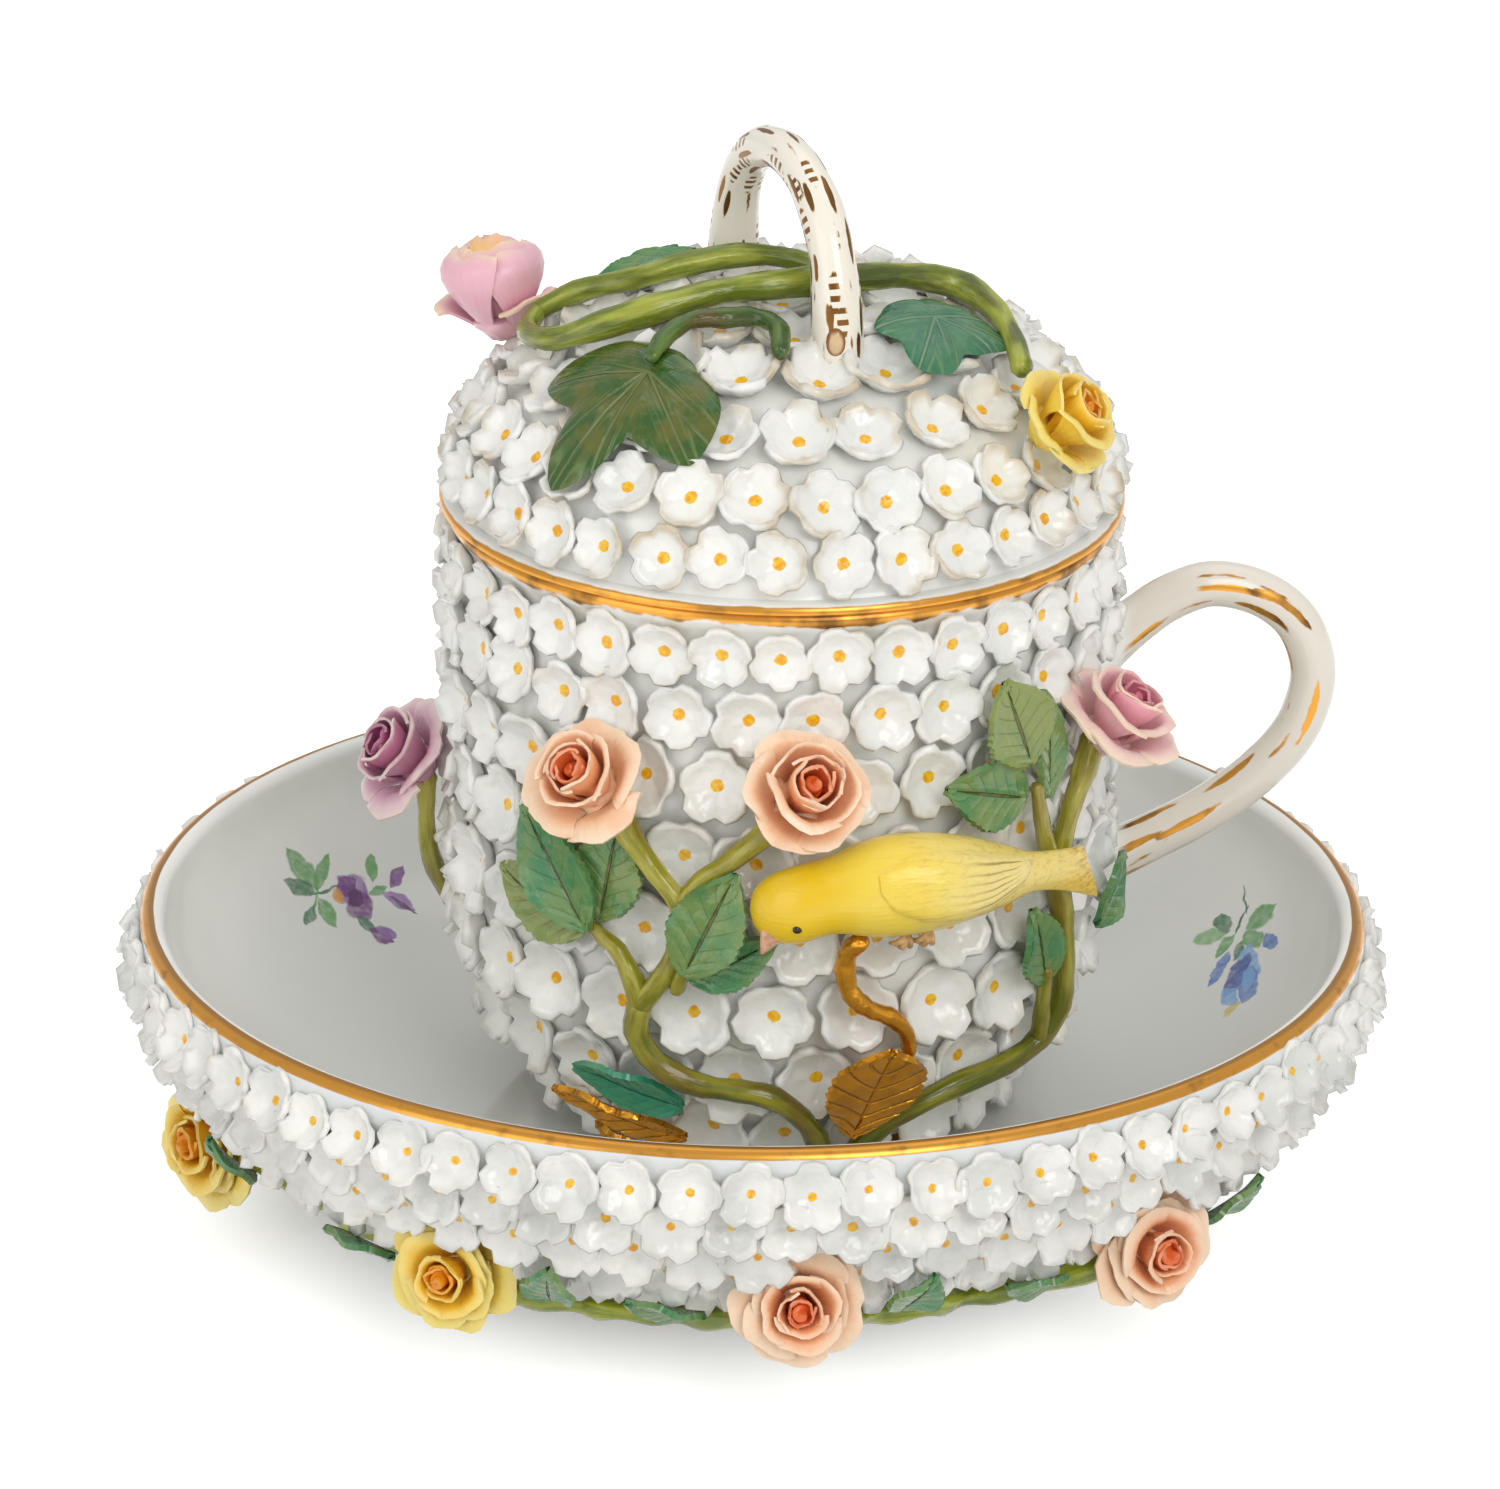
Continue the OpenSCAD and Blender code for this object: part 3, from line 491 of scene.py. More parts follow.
def saucer_glaze(c, s, name, bowl=False, sprig=None):
    """Hard-paste porcelain, turned and glazed: a mirror gloss; gilt rim and foot waver every 8 mm or so. In
    the bowl, painted shade greys the white toward the floor, and the gilt rim's inner side is browned as a
    painted reflection
    """
    m, bsdf, add = material(name, GLAZE)
    v = place(add)
    z = add("SeparateXYZ", v)[2]
    # In the bowl, painted shade greys the white toward its floor round the cup. Outside, the white turns
    # greyer over the top 6 mm below the rim.
    if bowl:
        near, deep, shade = s.saucer_h - 3, s.seat_z + 4, "D6D7D2"
    else:
        near, deep, shade = s.saucer_h - 12, s.saucer_h - 6, "DFE1E0"
    colour = add("Mix", add("MapRange", z, near, deep), glaze_colour(add, c, v), shade)
    if sprig:
        colour = paint_sprig(add, colour, v, s, *sprig)
    feed(bsdf, "Base Color", colour)
    edge = add("MULTIPLY_ADD", add("TexNoise", v, 0.12, 2.0), 0.3, -0.15)
    flat = add("VectorMath", v, (1, 1, 0), operation="MULTIPLY")
    out = add("ADD", add("VectorMath", flat, operation="LENGTH", out="Value"), edge)
    rim = add("MapRange", add("ADD", z, edge), s.saucer_h - 1.2, s.saucer_h - 1.05)
    rim = add("MULTIPLY", rim, add("MapRange", out, s.saucer_r - 1.85, s.saucer_r - 1.7))
    foot = add("MapRange", add("ADD", z, edge), 2.6, 2.3)
    brown_share = add("MULTIPLY", add("MapRange", add("TexNoise", v, 0.3, 4.0), 0.52, 0.75), 0.6)
    # painted reflection: the inner side of the gilt rim is browned as well as worn
    brown_share = add("MAXIMUM", brown_share, add("MULTIPLY", add("MapRange", out, s.saucer_r - 0.7, s.saucer_r - 1.3), 0.6))
    gilt_over(add, bsdf, add("ADD", rim, foot, use_clamp=True), c, brown_share)
    return m


def cup_glaze(c, s):
    """The same porcelain on the cup: worn gilding on the lip and at the foot, gold strokes on the loop"""
    m, bsdf, add = material("glazed_porcelain_cup", GLAZE)
    v = place(add)
    x, _, z = add("SeparateXYZ", v)
    colour = glaze_colour(add, c, v)
    stain = add(
        "MULTIPLY", add("MapRange", add("TexNoise", v, 0.16, 5.0), 0.5, 0.75),
        add("MapRange", z, s.rim_z - 9, s.rim_z - 2)
    )
    colour = add("Mix", add("MULTIPLY", stain, 0.7), colour, "CDBFA2")
    on_loop = add("MapRange", x, s.cup_aside + s.cup_r + 3, s.cup_aside + s.cup_r + 5)
    colour = add("Mix", on_loop, colour, "E6DFD2")
    feed(bsdf, "Base Color", colour)
    wear = add("TexNoise", v, 0.2, 3.0)
    level = add("ADD", z, add("MULTIPLY_ADD", wear, 3.4, -1.7))
    lip = add("MapRange", level, s.rim_z - 1.8, s.rim_z - 1.3)
    foot = add("MapRange", z, s.seat_z + 1.5, s.seat_z + 1.2)
    mask = add("MAXIMUM", lip, foot)
    mask = add("MAXIMUM", mask, add("MULTIPLY", strokes(add, 0.07, 0.62, 0.33), on_loop))
    gilt_over(add, bsdf, mask, c, add("MapRange", wear, 0.45, 0.7))
    return m


def lid_glaze(c, s):
    """Porcelain of the lid with a gilt edge; the twig has long bark strokes and dots in brown gold"""
    m, bsdf, add = material("glazed_porcelain_lid", GLAZE)
    v = place(add)
    z = add("SeparateXYZ", v)[2]
    kind = add("Attribute", out="Fac", attribute_name="twig")
    on_twig, on_knot = add("MapRange", kind, 0.4, 0.6), add("MapRange", kind, 1.4, 1.6)
    colour = add("Mix", on_twig, glaze_colour(add, c, v), "EFE9DA")
    kx, kz = surface(add)[:2]
    ring = add("ADD", add("POWER", kx, 2.0), add("POWER", kz, 2.0))
    cut = add("Mix", add("MapRange", ring, 0.25, 0.7), "D9B88E", "8A5A30")
    colour = add("Mix", on_knot, colour, cut)
    foot_stain = add(
        "MULTIPLY", on_twig, add("MapRange", z, s.dome_z + s.dome_h + 2.5, s.dome_z + s.dome_h - 3)
    )
    stained = add("MULTIPLY", foot_stain, add("MapRange", add("TexNoise", v, 0.3, 4.0), 0.48, 0.7))
    colour = add("Mix", stained, colour, "C79A72")
    feed(bsdf, "Base Color", colour)
    rungs = add("SINE", add("MULTIPLY", add("SeparateXYZ", place(add, "surface"))[0], 4.6))
    dot = add("MULTIPLY", strokes(add, 0.12, 0.42, 0.3, 5.3), add("MapRange", rungs, -0.1, 0.1))
    drawn = add("MAXIMUM", strokes(add, 0.12, 0.72, 0.3), dot)
    bark = add("MULTIPLY", drawn, add("SUBTRACT", on_twig, on_knot))
    wear = add("TexNoise", v, 0.3, 4.0)
    level = add("ADD", z, add("MULTIPLY_ADD", wear, 0.4, -0.2))
    rim = add(
        "MULTIPLY", add("MapRange", level, s.rim_z - 0.3, s.rim_z - 0.1),
        add("MapRange", level, s.rim_z + s.lid_edge - 0.1, s.rim_z + s.lid_edge - 0.3)
    )
    chip = add("MapRange", add("TexNoise", v, 0.4, 3.0), 0.74, 0.78)
    rim = add("MULTIPLY", rim, add("SUBTRACT", 1.0, chip))
    brown_share = add("MULTIPLY", add("MapRange", wear, 0.5, 0.75), 0.6)
    gilt_over(add, bsdf, add("ADD", rim, bark, use_clamp=True), c, add("MAXIMUM", brown_share, bark))
    return m


def blossom_glaze(name, c, cream, dot_r=1.0, shade="E8E9E4"):
    """Hand-pressed porcelain petals in thick glaze: soft folds, a painted dot, creamy worn rims. The white
    clouds toward the shade colour, which for the saucer's blossoms is greyer: painted shade
    """
    m, bsdf, add = material(name, PRESSED_GLAZE)
    v = place(add)
    fx, fy, rim = surface(add)
    reach = add("SQRT", add("ADD", add("POWER", fx, 2.0), add("POWER", fy, 2.0)))
    brush = add("TexNoise", v, 0.9, 2.0)
    dot = add("MapRange", add("MULTIPLY_ADD", brush, 0.6, reach), dot_r + 0.2, dot_r)
    dot = add("MULTIPLY", dot, add("MapRange", rim, -0.2, 0.0))
    stamen = add("Mix", add("MapRange", add("TexNoise", v, 1.4, 1.0), 0.4, 0.62), c.stamen, "EFA616")
    # clouds of the shade colour; for the saucer's blossoms that colour is a greyer white, a painted shade
    white = add("Mix", add("MapRange", add("TexNoise", v, 0.1, 2.0), 0.35, 0.7), c.porcelain, shade)
    worn = add(
        "MULTIPLY", add("MapRange", rim, 0.62, 0.95),
        add("MapRange", add("TexNoise", v, 0.14, 4.0), 0.42, 0.68)
    )
    white = add("Mix", add("MULTIPLY", worn, cream), white, "CFC0A4")
    feed(bsdf, "Base Color", add("Mix", dot, white, stamen))
    feed(bsdf, "Normal", add("Bump", add("TexNoise", v, 0.45, 2.0), 0.3 * MM))
    return m


def enamel_stem(name, base, lit, brown, share, low=None, heights=(0, 1)):
    """Porcelain stem in translucent enamel: lighter on its ridges, partly the enamel running thin there and
    partly painted highlight; it pools brown in places and can turn darker towards the bottom
    """
    m, bsdf, add = material(name, GLAZE)
    v = place(add)
    streak = add("TexNoise", place(add, "surface", (0.07, 0.45, 0.45)), 1.0, 4.0, 0.6)
    # the lit colour on the ridge streaks is partly painted highlight
    colour = add("Mix", add("MapRange", streak, 0.4, 0.66), base, lit)
    if low:
        height = add(
            "MULTIPLY_ADD", add("TexNoise", v, 0.1, 2.0), 14.0, add("ADD", add("SeparateXYZ", v)[2], -7.0)
        )
        dark = add("Mix", add("MapRange", streak, 0.4, 0.7), low, base)
        colour = add("Mix", add("MapRange", height, heights[1], heights[0]), colour, dark)
    pools = add("MapRange", add("TexNoise", place(add, "surface", (0.1, 0.3, 0.3)), 1.0, 3.0), 0.5, 0.68)
    colour = add("Mix", add("MULTIPLY", pools, share), colour, brown)
    feed(bsdf, "Base Color", colour)
    feed(bsdf, "Normal", add("Bump", streak, 0.5 * MM))
    return m


def enamel_leaf(name, base, second, vein, mottle=0.5, side_veins=6.5, vein_share=0.7):
    """Porcelain leaf in copper-green enamel: emerald to olive by leaf, mottled, midrib darker or browner"""
    m, bsdf, add = material(name, LEAF_ENAMEL)
    v = place(add)
    s_, t_, tone = surface(add)
    away = add("ABSOLUTE", s_)
    clouds = add("MapRange", add("TexNoise", v, 0.24, 4.0, 0.6), 0.36, 0.64)
    share = add("MULTIPLY_ADD", clouds, mottle, add("MULTIPLY", tone, 0.8), use_clamp=True)
    colour = add("Mix", share, base, second)
    brushed = add("TexNoise", place(add, "surface", (7, 1.6, 1)), 1.0, 3.0)
    colour = add("Mix", add("MULTIPLY", add("MapRange", brushed, 0.5, 0.72), 0.3), colour, "8FA874")
    midrib = add("MapRange", away, 0.09, 0.02)
    slant = add("MULTIPLY_ADD", away, -1.8, add("MULTIPLY", t_, side_veins))
    wave = add("ABSOLUTE", add("SUBTRACT", add("FRACT", slant), 0.5))
    side = add("MULTIPLY", add("MapRange", wave, 0.08, 0.02), add("MapRange", away, 0.9, 0.5))
    veins = add("MAXIMUM", midrib, add("MULTIPLY", side, 0.25))
    colour = add("Mix", add("MULTIPLY", veins, vein_share), colour, vein)
    feed(bsdf, "Base Color", colour)
    relief = add("MULTIPLY_ADD", add("TexNoise", v, 0.6, 3.0), 0.6, add("MULTIPLY", veins, -0.7))
    feed(bsdf, "Normal", add("Bump", relief, 0.3 * MM))
    return m


def petal_enamel(name, heart, middle, outer, edge):
    """Thin porcelain petals in soft enamel: the heart is deepest, the edges run pale, fine ribs run out"""
    m, bsdf, add = material(name, PETAL_ENAMEL)
    v = place(add)
    layer, t_, _ = surface(add)
    grain = add("TexNoise", v, 0.35, 4.0, 0.6)
    depth = add("MULTIPLY_ADD", grain, 0.24, add("ADD", layer, -0.14))
    colour = add("Mix", add("MapRange", depth, 0.12, 0.42), heart, middle)
    colour = add("Mix", add("MapRange", depth, 0.45, 0.85), colour, outer)
    rim = add("MULTIPLY", add("MapRange", t_, 0.72, 1.0), add("MapRange", layer, 0.15, 0.5))
    colour = add("Mix", add("MULTIPLY", rim, 0.75), colour, edge)
    blush = add("MULTIPLY", add("MapRange", add("TexNoise", v, 0.2, 3.0), 0.5, 0.7), 0.35)
    colour = add("Mix", blush, colour, middle)
    feed(bsdf, "Base Color", colour)
    ribs = add("TexNoise", place(add, "surface", (3, 1.2, 9)), 1.0, 3.0)
    feed(bsdf, "Normal", add("Bump", ribs, 0.15 * MM))
    return m


def gilded(name, c, vein_share=1.0):
    """Burnished gilding over porcelain: warm mirror gold, rubbed brown in the hollows"""
    m, bsdf, add = material(name, LEAF_GILDING, GILT_METAL)
    v = place(add)
    s_, t_, _ = surface(add)
    worn = add("MapRange", add("TexNoise", v, 0.3, 4.0, 0.6), 0.42, 0.66)
    away = add("ABSOLUTE", s_)
    slant = add("MULTIPLY_ADD", away, -1.4, add("MULTIPLY", t_, 6.0))
    wave = add("ABSOLUTE", add("SUBTRACT", add("FRACT", slant), 0.5))
    hollow = add("MAXIMUM", add("MapRange", wave, 0.16, 0.0), add("MapRange", away, 0.1, 0.0))
    shade = add("MAXIMUM", add("MULTIPLY", worn, 0.35), add("MULTIPLY", hollow, 0.25 * vein_share))
    feed(bsdf, "Base Color", add("Mix", shade, c.leaf_gold, "8A5A1E"))
    relief = add("SUBTRACT", add("TexNoise", v, 0.8, 2.0), add("MULTIPLY", hollow, 1.5 * vein_share))
    feed(bsdf, "Normal", add("Bump", relief, 0.2 * MM))
    return m


# Painted sprigs in the saucer

GREEN, DARK_GREEN, PALE_GREEN = "5F9C55", "3C704A", "84B078"
PLUM, VIOLET, DEEP_PLUM, AMBER = "70397A", "8D63A2", "54285C", "D6963C"
BLUE, SKY, NAVY, STRAW = "4470B6", "74A4D4", "354A94", "CDB558"
# each stroke: place across and up the wall, half length, half width, turn in degrees, colour
VIOLA = [
    (-5.2, 3.0, 2.9, 1.0, 130, GREEN), (-2.9, 2.6, 2.1, 0.75, 75, GREEN),
    (-5.3, 0.9, 2.0, 0.75, 155, DARK_GREEN), (-2.1, 0.6, 2.2, 0.16, 20, DARK_GREEN),
    (-3.4, -0.7, 1.7, 0.16, 80, GREEN), (-1.9, -2.0, 1.9, 0.8, -55, GREEN),
    (-4.0, -2.4, 1.1, 0.7, -110, DARK_GREEN), (3.0, 3.2, 1.6, 0.65, 95, GREEN),
    (4.0, 0.6, 1.1, 0.5, 20, GREEN), (0.9, 0.6, 2.3, 1.5, -38, VIOLET), (1.9, -1.2, 1.9, 1.4, -50, PLUM),
    (0.1, 1.0, 1.3, 1.1, 30, PLUM), (1.3, -0.3, 1.1, 0.85, -40, DEEP_PLUM),
    (-0.8, -0.2, 1.0, 0.5, -50, AMBER), (6.1, 2.2, 1.3, 0.8, 60, PLUM), (6.4, 1.9, 0.8, 0.5, 60, VIOLET),
    (6.5, -0.6, 2.2, 0.65, -28, VIOLET), (7.1, -1.1, 2.0, 0.22, -30, DEEP_PLUM),
    (2.9, -3.4, 1.5, 0.5, -35, DARK_GREEN), (4.7, -4.5, 1.7, 0.8, -28, PLUM),
    (5.3, -4.3, 1.2, 0.5, -20, VIOLET)
]
BELL = [
    (0.9, 5.6, 1.6, 0.14, 95, DARK_GREEN), (0.3, 3.4, 1.9, 0.15, 60, DARK_GREEN),
    (2.6, 3.8, 2.2, 0.8, 40, GREEN), (-1.9, 2.9, 1.1, 1.0, 100, DARK_GREEN),
    (-3.5, 1.3, 2.0, 0.7, 15, PALE_GREEN), (-1.8, 0.4, 1.7, 0.55, 50, GREEN),
    (1.6, 1.3, 1.3, 0.95, 30, GREEN), (3.6, 1.1, 0.95, 0.85, 35, BLUE),
    (-0.2, -0.1, 1.2, 0.4, 60, DARK_GREEN), (-2.6, -2.3, 2.3, 0.5, 52, BLUE),
    (0.9, -1.7, 2.2, 1.2, 88, SKY), (-0.6, -2.9, 3.0, 0.75, 56, NAVY), (0.6, -3.7, 2.2, 1.0, 68, BLUE),
    (0.8, -3.1, 1.5, 0.55, 70, SKY), (-1.7, -5.2, 1.1, 0.9, 50, SKY), (-1.5, -6.5, 1.4, 0.3, 40, STRAW)
]
# how far round from its middle a sprig's own glaze reaches, in degrees
SPRIG_REACH = 25
# each sprig: degrees round and place down the bowl, strokes, right and up directions, size across and up
SPRIGS = [
    (-125.8, 37.5, VIOLA, (1, 0, 0), (0, 0.37, 0.93), 1.08, 1.15),
    (109.3, 35.1, BELL, (1, 0, 0), (0, 0.37, 0.93), 1.05, 1.15),
    (172.0, 40.0, VIOLA, (-0.99, -0.14, 0), (0.1, -0.72, -0.68), 1.2, 1.2),
    (-10.0, 42.0, BELL, (0.98, -0.17, 0), (0.12, 0.7, -0.7), 1.2, 1.2),
]


def paint_sprig(add, colour, v, s, angle, t, drawing, right, up, wide, high):
    """Paint a sprig of enamel strokes on the bowl: soft ovals laid along two directions"""
    bowl_r = s.saucer_foot_r - 1
    r = bowl_r + (s.saucer_r - s.saucer_wall - bowl_r) * math.cos(math.radians(t))
    where = turned(angle, r, s.bend_z - (s.bend_z - s.seat_z) * math.sin(math.radians(t)))
    right, up = Vector(right).normalized(), Vector(up).normalized()
    side = add("VectorMath", v, tuple(right / wide), out="Value", operation="DOT_PRODUCT")
    rise = add("VectorMath", v, tuple(up / high), out="Value", operation="DOT_PRODUCT")
    flat = add(
        "CombineXYZ", add("SUBTRACT", side, where.dot(right) / wide),
        add("SUBTRACT", rise, where.dot(up) / high)
    )
    bristle = add(
        "VectorMath", add("TexNoise", v, 0.5, 2.0, out="Color"), (0.5, 0.5, 0.5), operation="SUBTRACT"
    )
    shifted = add("VectorMath", bristle, (0.9, 0.9, 0.0), flat, operation="MULTIPLY_ADD")
    tone = add("MapRange", add("TexNoise", v, 0.8, 2.0), 0.3, 0.8)
    for x, y, length, width, rotation, hex_code in drawing:
        local = add(
            "Mapping", shifted, (x, y, 0), (0, 0, math.radians(rotation)), (length * 1.12, width * 1.2, 1),
            vector_type="TEXTURE"
        )
        run, side, _ = add("SeparateXYZ", local)
        far = add("MULTIPLY_ADD", run, run, add("ABSOLUTE", side))
        on = add("MULTIPLY", add("MapRange", far, 1.08, 0.82), add("MULTIPLY_ADD", tone, -0.3, 0.95))
        colour = add("Mix", on, colour, hex_code)
    return colour


# Turned bodies

TURN_STEPS = 144
# the cup's loop handle: degrees round, and its foot, height and reach in millimetres
LOOP_TURN, LOOP_FOOT, LOOP_HIGH, LOOP_OUT = 94, 29, 39.5, 28
# the lid's twig handle: degrees that it is turned from crosswise, its span, and its rise over the dome
TWIG_TURN, TWIG_SPAN, TWIG_RISE = 22, 35, 19


def arc(cx, cz, rx, rz, start, end, steps):
    angles = [math.radians(start + (end - start) * i / steps) for i in range(steps + 1)]
    return [(cx + rx * math.cos(t), cz + rz * math.sin(t)) for t in angles]


class BLOSSOMCUP_OT_saucer(Operator):
    """Turn the saucer: a deep bowl on a foot ring, gilt at the rim, sprigs painted inside"""

    bl_idname = "blossomcup.saucer"
    bl_label = "Saucer"

    def execute(self, context):
        s, c = sizes(), colours()
        foot_in = s.saucer_foot_r - 4
        bowl_r = s.saucer_foot_r - 1
        half_wall = s.saucer_wall / 2
        outline = (
            [
                (0, s.saucer_foot_h), (foot_in - 1.6, s.saucer_foot_h),
                (foot_in - 1, s.saucer_foot_h - 0.6), (foot_in, 0.6)
            ]
            + [
                (foot_in + 0.6, 0), (s.saucer_foot_r - 0.6, 0), (s.saucer_foot_r, 0.6),
                (s.saucer_foot_r, s.saucer_foot_h - 1)
            ]
            + arc(s.bend_r, s.bend_z, s.saucer_r - s.bend_r, s.bend_z - s.saucer_foot_h, -90, 0, 22)
            + arc(s.saucer_r - half_wall, s.bend_z, half_wall, half_wall, 0, 180, 10)[1:-1]
            + arc(bowl_r, s.bend_z, s.saucer_r - s.saucer_wall - bowl_r, s.bend_z - s.seat_z, 0, -90, 22)
            + [(0, s.seat_z)]
        )
        piece = lathe(outline, TURN_STEPS, 0)
        piece.name = piece.data.name = "saucer_bowl"
        glazes = [saucer_glaze(c, s, "glazed_porcelain_saucer")]
        glazes.append(saucer_glaze(c, s, "glazed_porcelain_bowl", True))
        for k, sprig in enumerate(SPRIGS, 1):
            glazes.append(saucer_glaze(c, s, f"painted_porcelain_{k}", True, sprig))
        set_down(piece, ["saucer"], glazes)
        for face in piece.data.polygons:
            mid = face.center / MM
            inside = math.hypot(mid.x, mid.y) < s.saucer_r - half_wall
            if inside and face.normal.z > 0.02 and mid.z > s.seat_z - 0.2:
                way = math.degrees(math.atan2(mid.x, -mid.y))
                apart = [abs((way - sprig[0] + 180) % 360 - 180) for sprig in SPRIGS]
                near = [k for k, angle in enumerate(apart, 2) if angle < SPRIG_REACH]
                face.material_index = near[0] if near else 1
        return {"FINISHED"}


# the loop's line: shares of its reach and of its height
LOOP_LINE = [
    (-0.1, 0.69), (0.06, 0.8), (0.19, 0.88), (0.34, 0.955), (0.53, 1), (0.75, 0.965), (0.92, 0.87), (1, 0.73),
    (0.99, 0.6), (0.91, 0.465), (0.74, 0.33), (0.51, 0.21), (0.26, 0.115), (0.06, 0.045), (-0.1, 0),
]


class BLOSSOMCUP_OT_cup(Operator):
    """Turn the cup and pull its loop handle: one piece of porcelain with a gilt lip"""

    bl_idname = "blossomcup.cup"
    bl_label = "Cup"

    def execute(self, context):
        s, c = sizes(), colours()
        top_r = s.cup_r + s.cup_flare
        start = math.degrees(math.acos(s.cup_foot_r / s.cup_r))
        in_r, in_drop = s.cup_r - s.cup_wall, s.belly_drop - s.cup_wall
        in_start = math.degrees(math.asin((s.belly_h - 5) / in_drop))
        foot_in = s.cup_foot_r - 4
        outline = (
            [(0, 1.5), (foot_in, 1.5), (foot_in + 1.5, 0), (s.cup_foot_r - 0.5, 0), (s.cup_foot_r, 0.5)]
            + arc(0, s.belly_h, s.cup_r, s.belly_drop, -start, 0, 26)
            + [(cup_wall_r(s, s.cup_h - 6), s.cup_h - 6), (cup_wall_r(s, s.cup_h - 3.6), s.cup_h - 3.6)]
            + [
                (top_r + 0.5, s.cup_h - 2.7), (top_r + s.lip_out - 0.2, s.cup_h - 1.6),
                (top_r + s.lip_out, s.cup_h - 1.1)
            ]
            + [(top_r + s.lip_out, s.cup_h - 0.6), (top_r + s.lip_out - 0.5, s.cup_h)]
            + [(s.mouth_r + 0.5, s.cup_h), (s.mouth_r, s.cup_h - 0.5)]
            + arc(0, s.belly_h, in_r, in_drop, 0, -in_start, 20)
            + [(0, 5)]
        )
        body = lathe([(r, z + s.seat_z) for r, z in outline], TURN_STEPS, s.cup_aside)
        line = smooth_path([(s.cup_r + LOOP_OUT * x, LOOP_FOOT + LOOP_HIGH * y) for x, y in LOOP_LINE], 5)
        n = len(line) - 1
        share = np.abs(2 * np.arange(n + 1) / n - 1)
        radii = 2.95 + 1.1 * share**6
        turn = math.radians(LOOP_TURN - 90)
        path = [(s.cup_aside + x * math.cos(turn), x * math.sin(turn), z + s.seat_z) for x, z in line]
        loop = rod(path, radii, 20, start=(0, 0, 1), cap=0.02)
        # nothing of the loop comes through the wall to the cup's inside
        co = points_of(loop)
        inside = np.array([cup_wall_r(s, z) for z in co[:, 2] - s.seat_z]) - 1.5
        from_axis = np.hypot(co[:, 0] - s.cup_aside, co[:, 1])
        grow = np.maximum(1, inside / from_axis)
        co[:, 0] = s.cup_aside + (co[:, 0] - s.cup_aside) * grow
        co[:, 1] *= grow
        put_points(loop, co)
        mark(body, np.zeros((len(body.data.vertices), 3)))
        set_down(joined([body, loop], "cup_body"), ["cup"], [cup_glaze(c, s)])
        return {"FINISHED"}


class BLOSSOMCUP_OT_lid(Operator):
    """Turn the lid's dome and bend its twig handle: one piece of porcelain with a gilt edge"""

    bl_idname = "blossomcup.lid"
    bl_label = "Lid"

    def execute(self, context):
        s, c = sizes(), colours()
        in_r, in_h = s.collar_r - 3, s.dome_h + s.lid_edge - 3
        outline = (
            [
                (in_r, -5), (s.collar_r - 0.5, -5), (s.collar_r, -4.5), (s.collar_r, 0), (s.lid_r - 0.6, 0),
                (s.lid_r, 0.4)
            ]
            + [
                (s.lid_r, s.lid_edge - 0.5), (s.lid_r - 0.5, s.lid_edge),
                (s.dome_r + 0.3, s.lid_edge + 0.15)
            ]
            + arc(0, s.lid_edge, s.dome_r, s.dome_h, 1.5, 90, 30)
        )
        inner = arc(0, 0, in_r, in_h, 90, 0, 20)
        dome = lathe([(r, z + s.rim_z) for r, z in outline + inner + [(in_r, -5)]], TURN_STEPS, s.cup_aside)
        span, sink, rod_r, steps = TWIG_SPAN, 3, 2.7, 57
        foot_z = s.lid_edge + s.dome_h * math.sqrt(1 - (span / 2 / s.dome_r) ** 2) - sink
        top_z = s.lid_edge + s.dome_h + TWIG_RISE
        half = np.radians(np.linspace(0, 180, steps))
        along = -span / 2 * np.cos(half)
        height = foot_z + (top_z - foot_z) * np.sin(half).clip(0) ** 0.6
        ends = np.abs(np.linspace(-1, 1, steps))
        rng = np.random.default_rng(8)
        knots = np.interp(np.linspace(0, 1, steps), np.linspace(0, 1, 15), rng.uniform(-0.18, 0.22, 15))
        radii = rod_r + 0.8 * ends**4 + knots * (1 - ends**6)
        way = math.radians(TWIG_TURN)
        q = (-math.sin(way), math.cos(way))
        path = [(s.cup_aside + a * q[0], a * q[1], s.rim_z + z) for a, z in zip(along, height)]
        twig = rod(path, radii, 20, start=(q[1], -q[0], 0), cap=0.02)
        stub = [
            (span / 2 - 2, foot_z + 3), (span / 2 + 1, foot_z + 4), (span / 2 + 3.5, foot_z + 3.2),
            (span / 2 + 5, foot_z + 2)
        ]
        root = rod([(s.cup_aside + a * q[0], a * q[1], s.rim_z + z) for a, z in stub], [1.5, 2, 1.5, 0.9], 12)
        # nothing of the twig comes through the thin dome to its inside
        for piece in (twig, root):
            co = points_of(piece)
            out = np.hypot(co[:, 0] - s.cup_aside, co[:, 1])
            shell = s.dome_z + s.dome_h * np.sqrt(np.clip(1 - (out / s.dome_r) ** 2, 0, 1)) - 1.5
            co[:, 2] = np.maximum(co[:, 2], shell)
            put_points(piece, co)
        knot = ball(16, 8)[0]
        co = points_of(knot)
        mark(knot, co[:, 0], co[:, 2], co[:, 1])
        co = co * np.array([1.25, 0.8, 2.0])
        spot = (s.cup_aside - span / 2 * q[0] - 0.2, -span / 2 * q[1] - 2.9, s.rim_z + foot_z + 6.2)
        put_points(knot, co + np.array(spot))
        mark(dome, np.zeros((len(dome.data.vertices), 3)))
        for piece, value in ((dome, 0.0), (twig, 1.0), (root, 1.0), (knot, 2.0)):
            a = piece.data.attributes.new("twig", "FLOAT", "POINT")
            a.data.foreach_set("value", np.full(len(piece.data.vertices), value, np.float32))
        set_down(joined([dome, twig, root, knot], "lid_dome"), ["lid"], [lid_glaze(c, s)])
        return {"FINISHED"}


# Blossoms

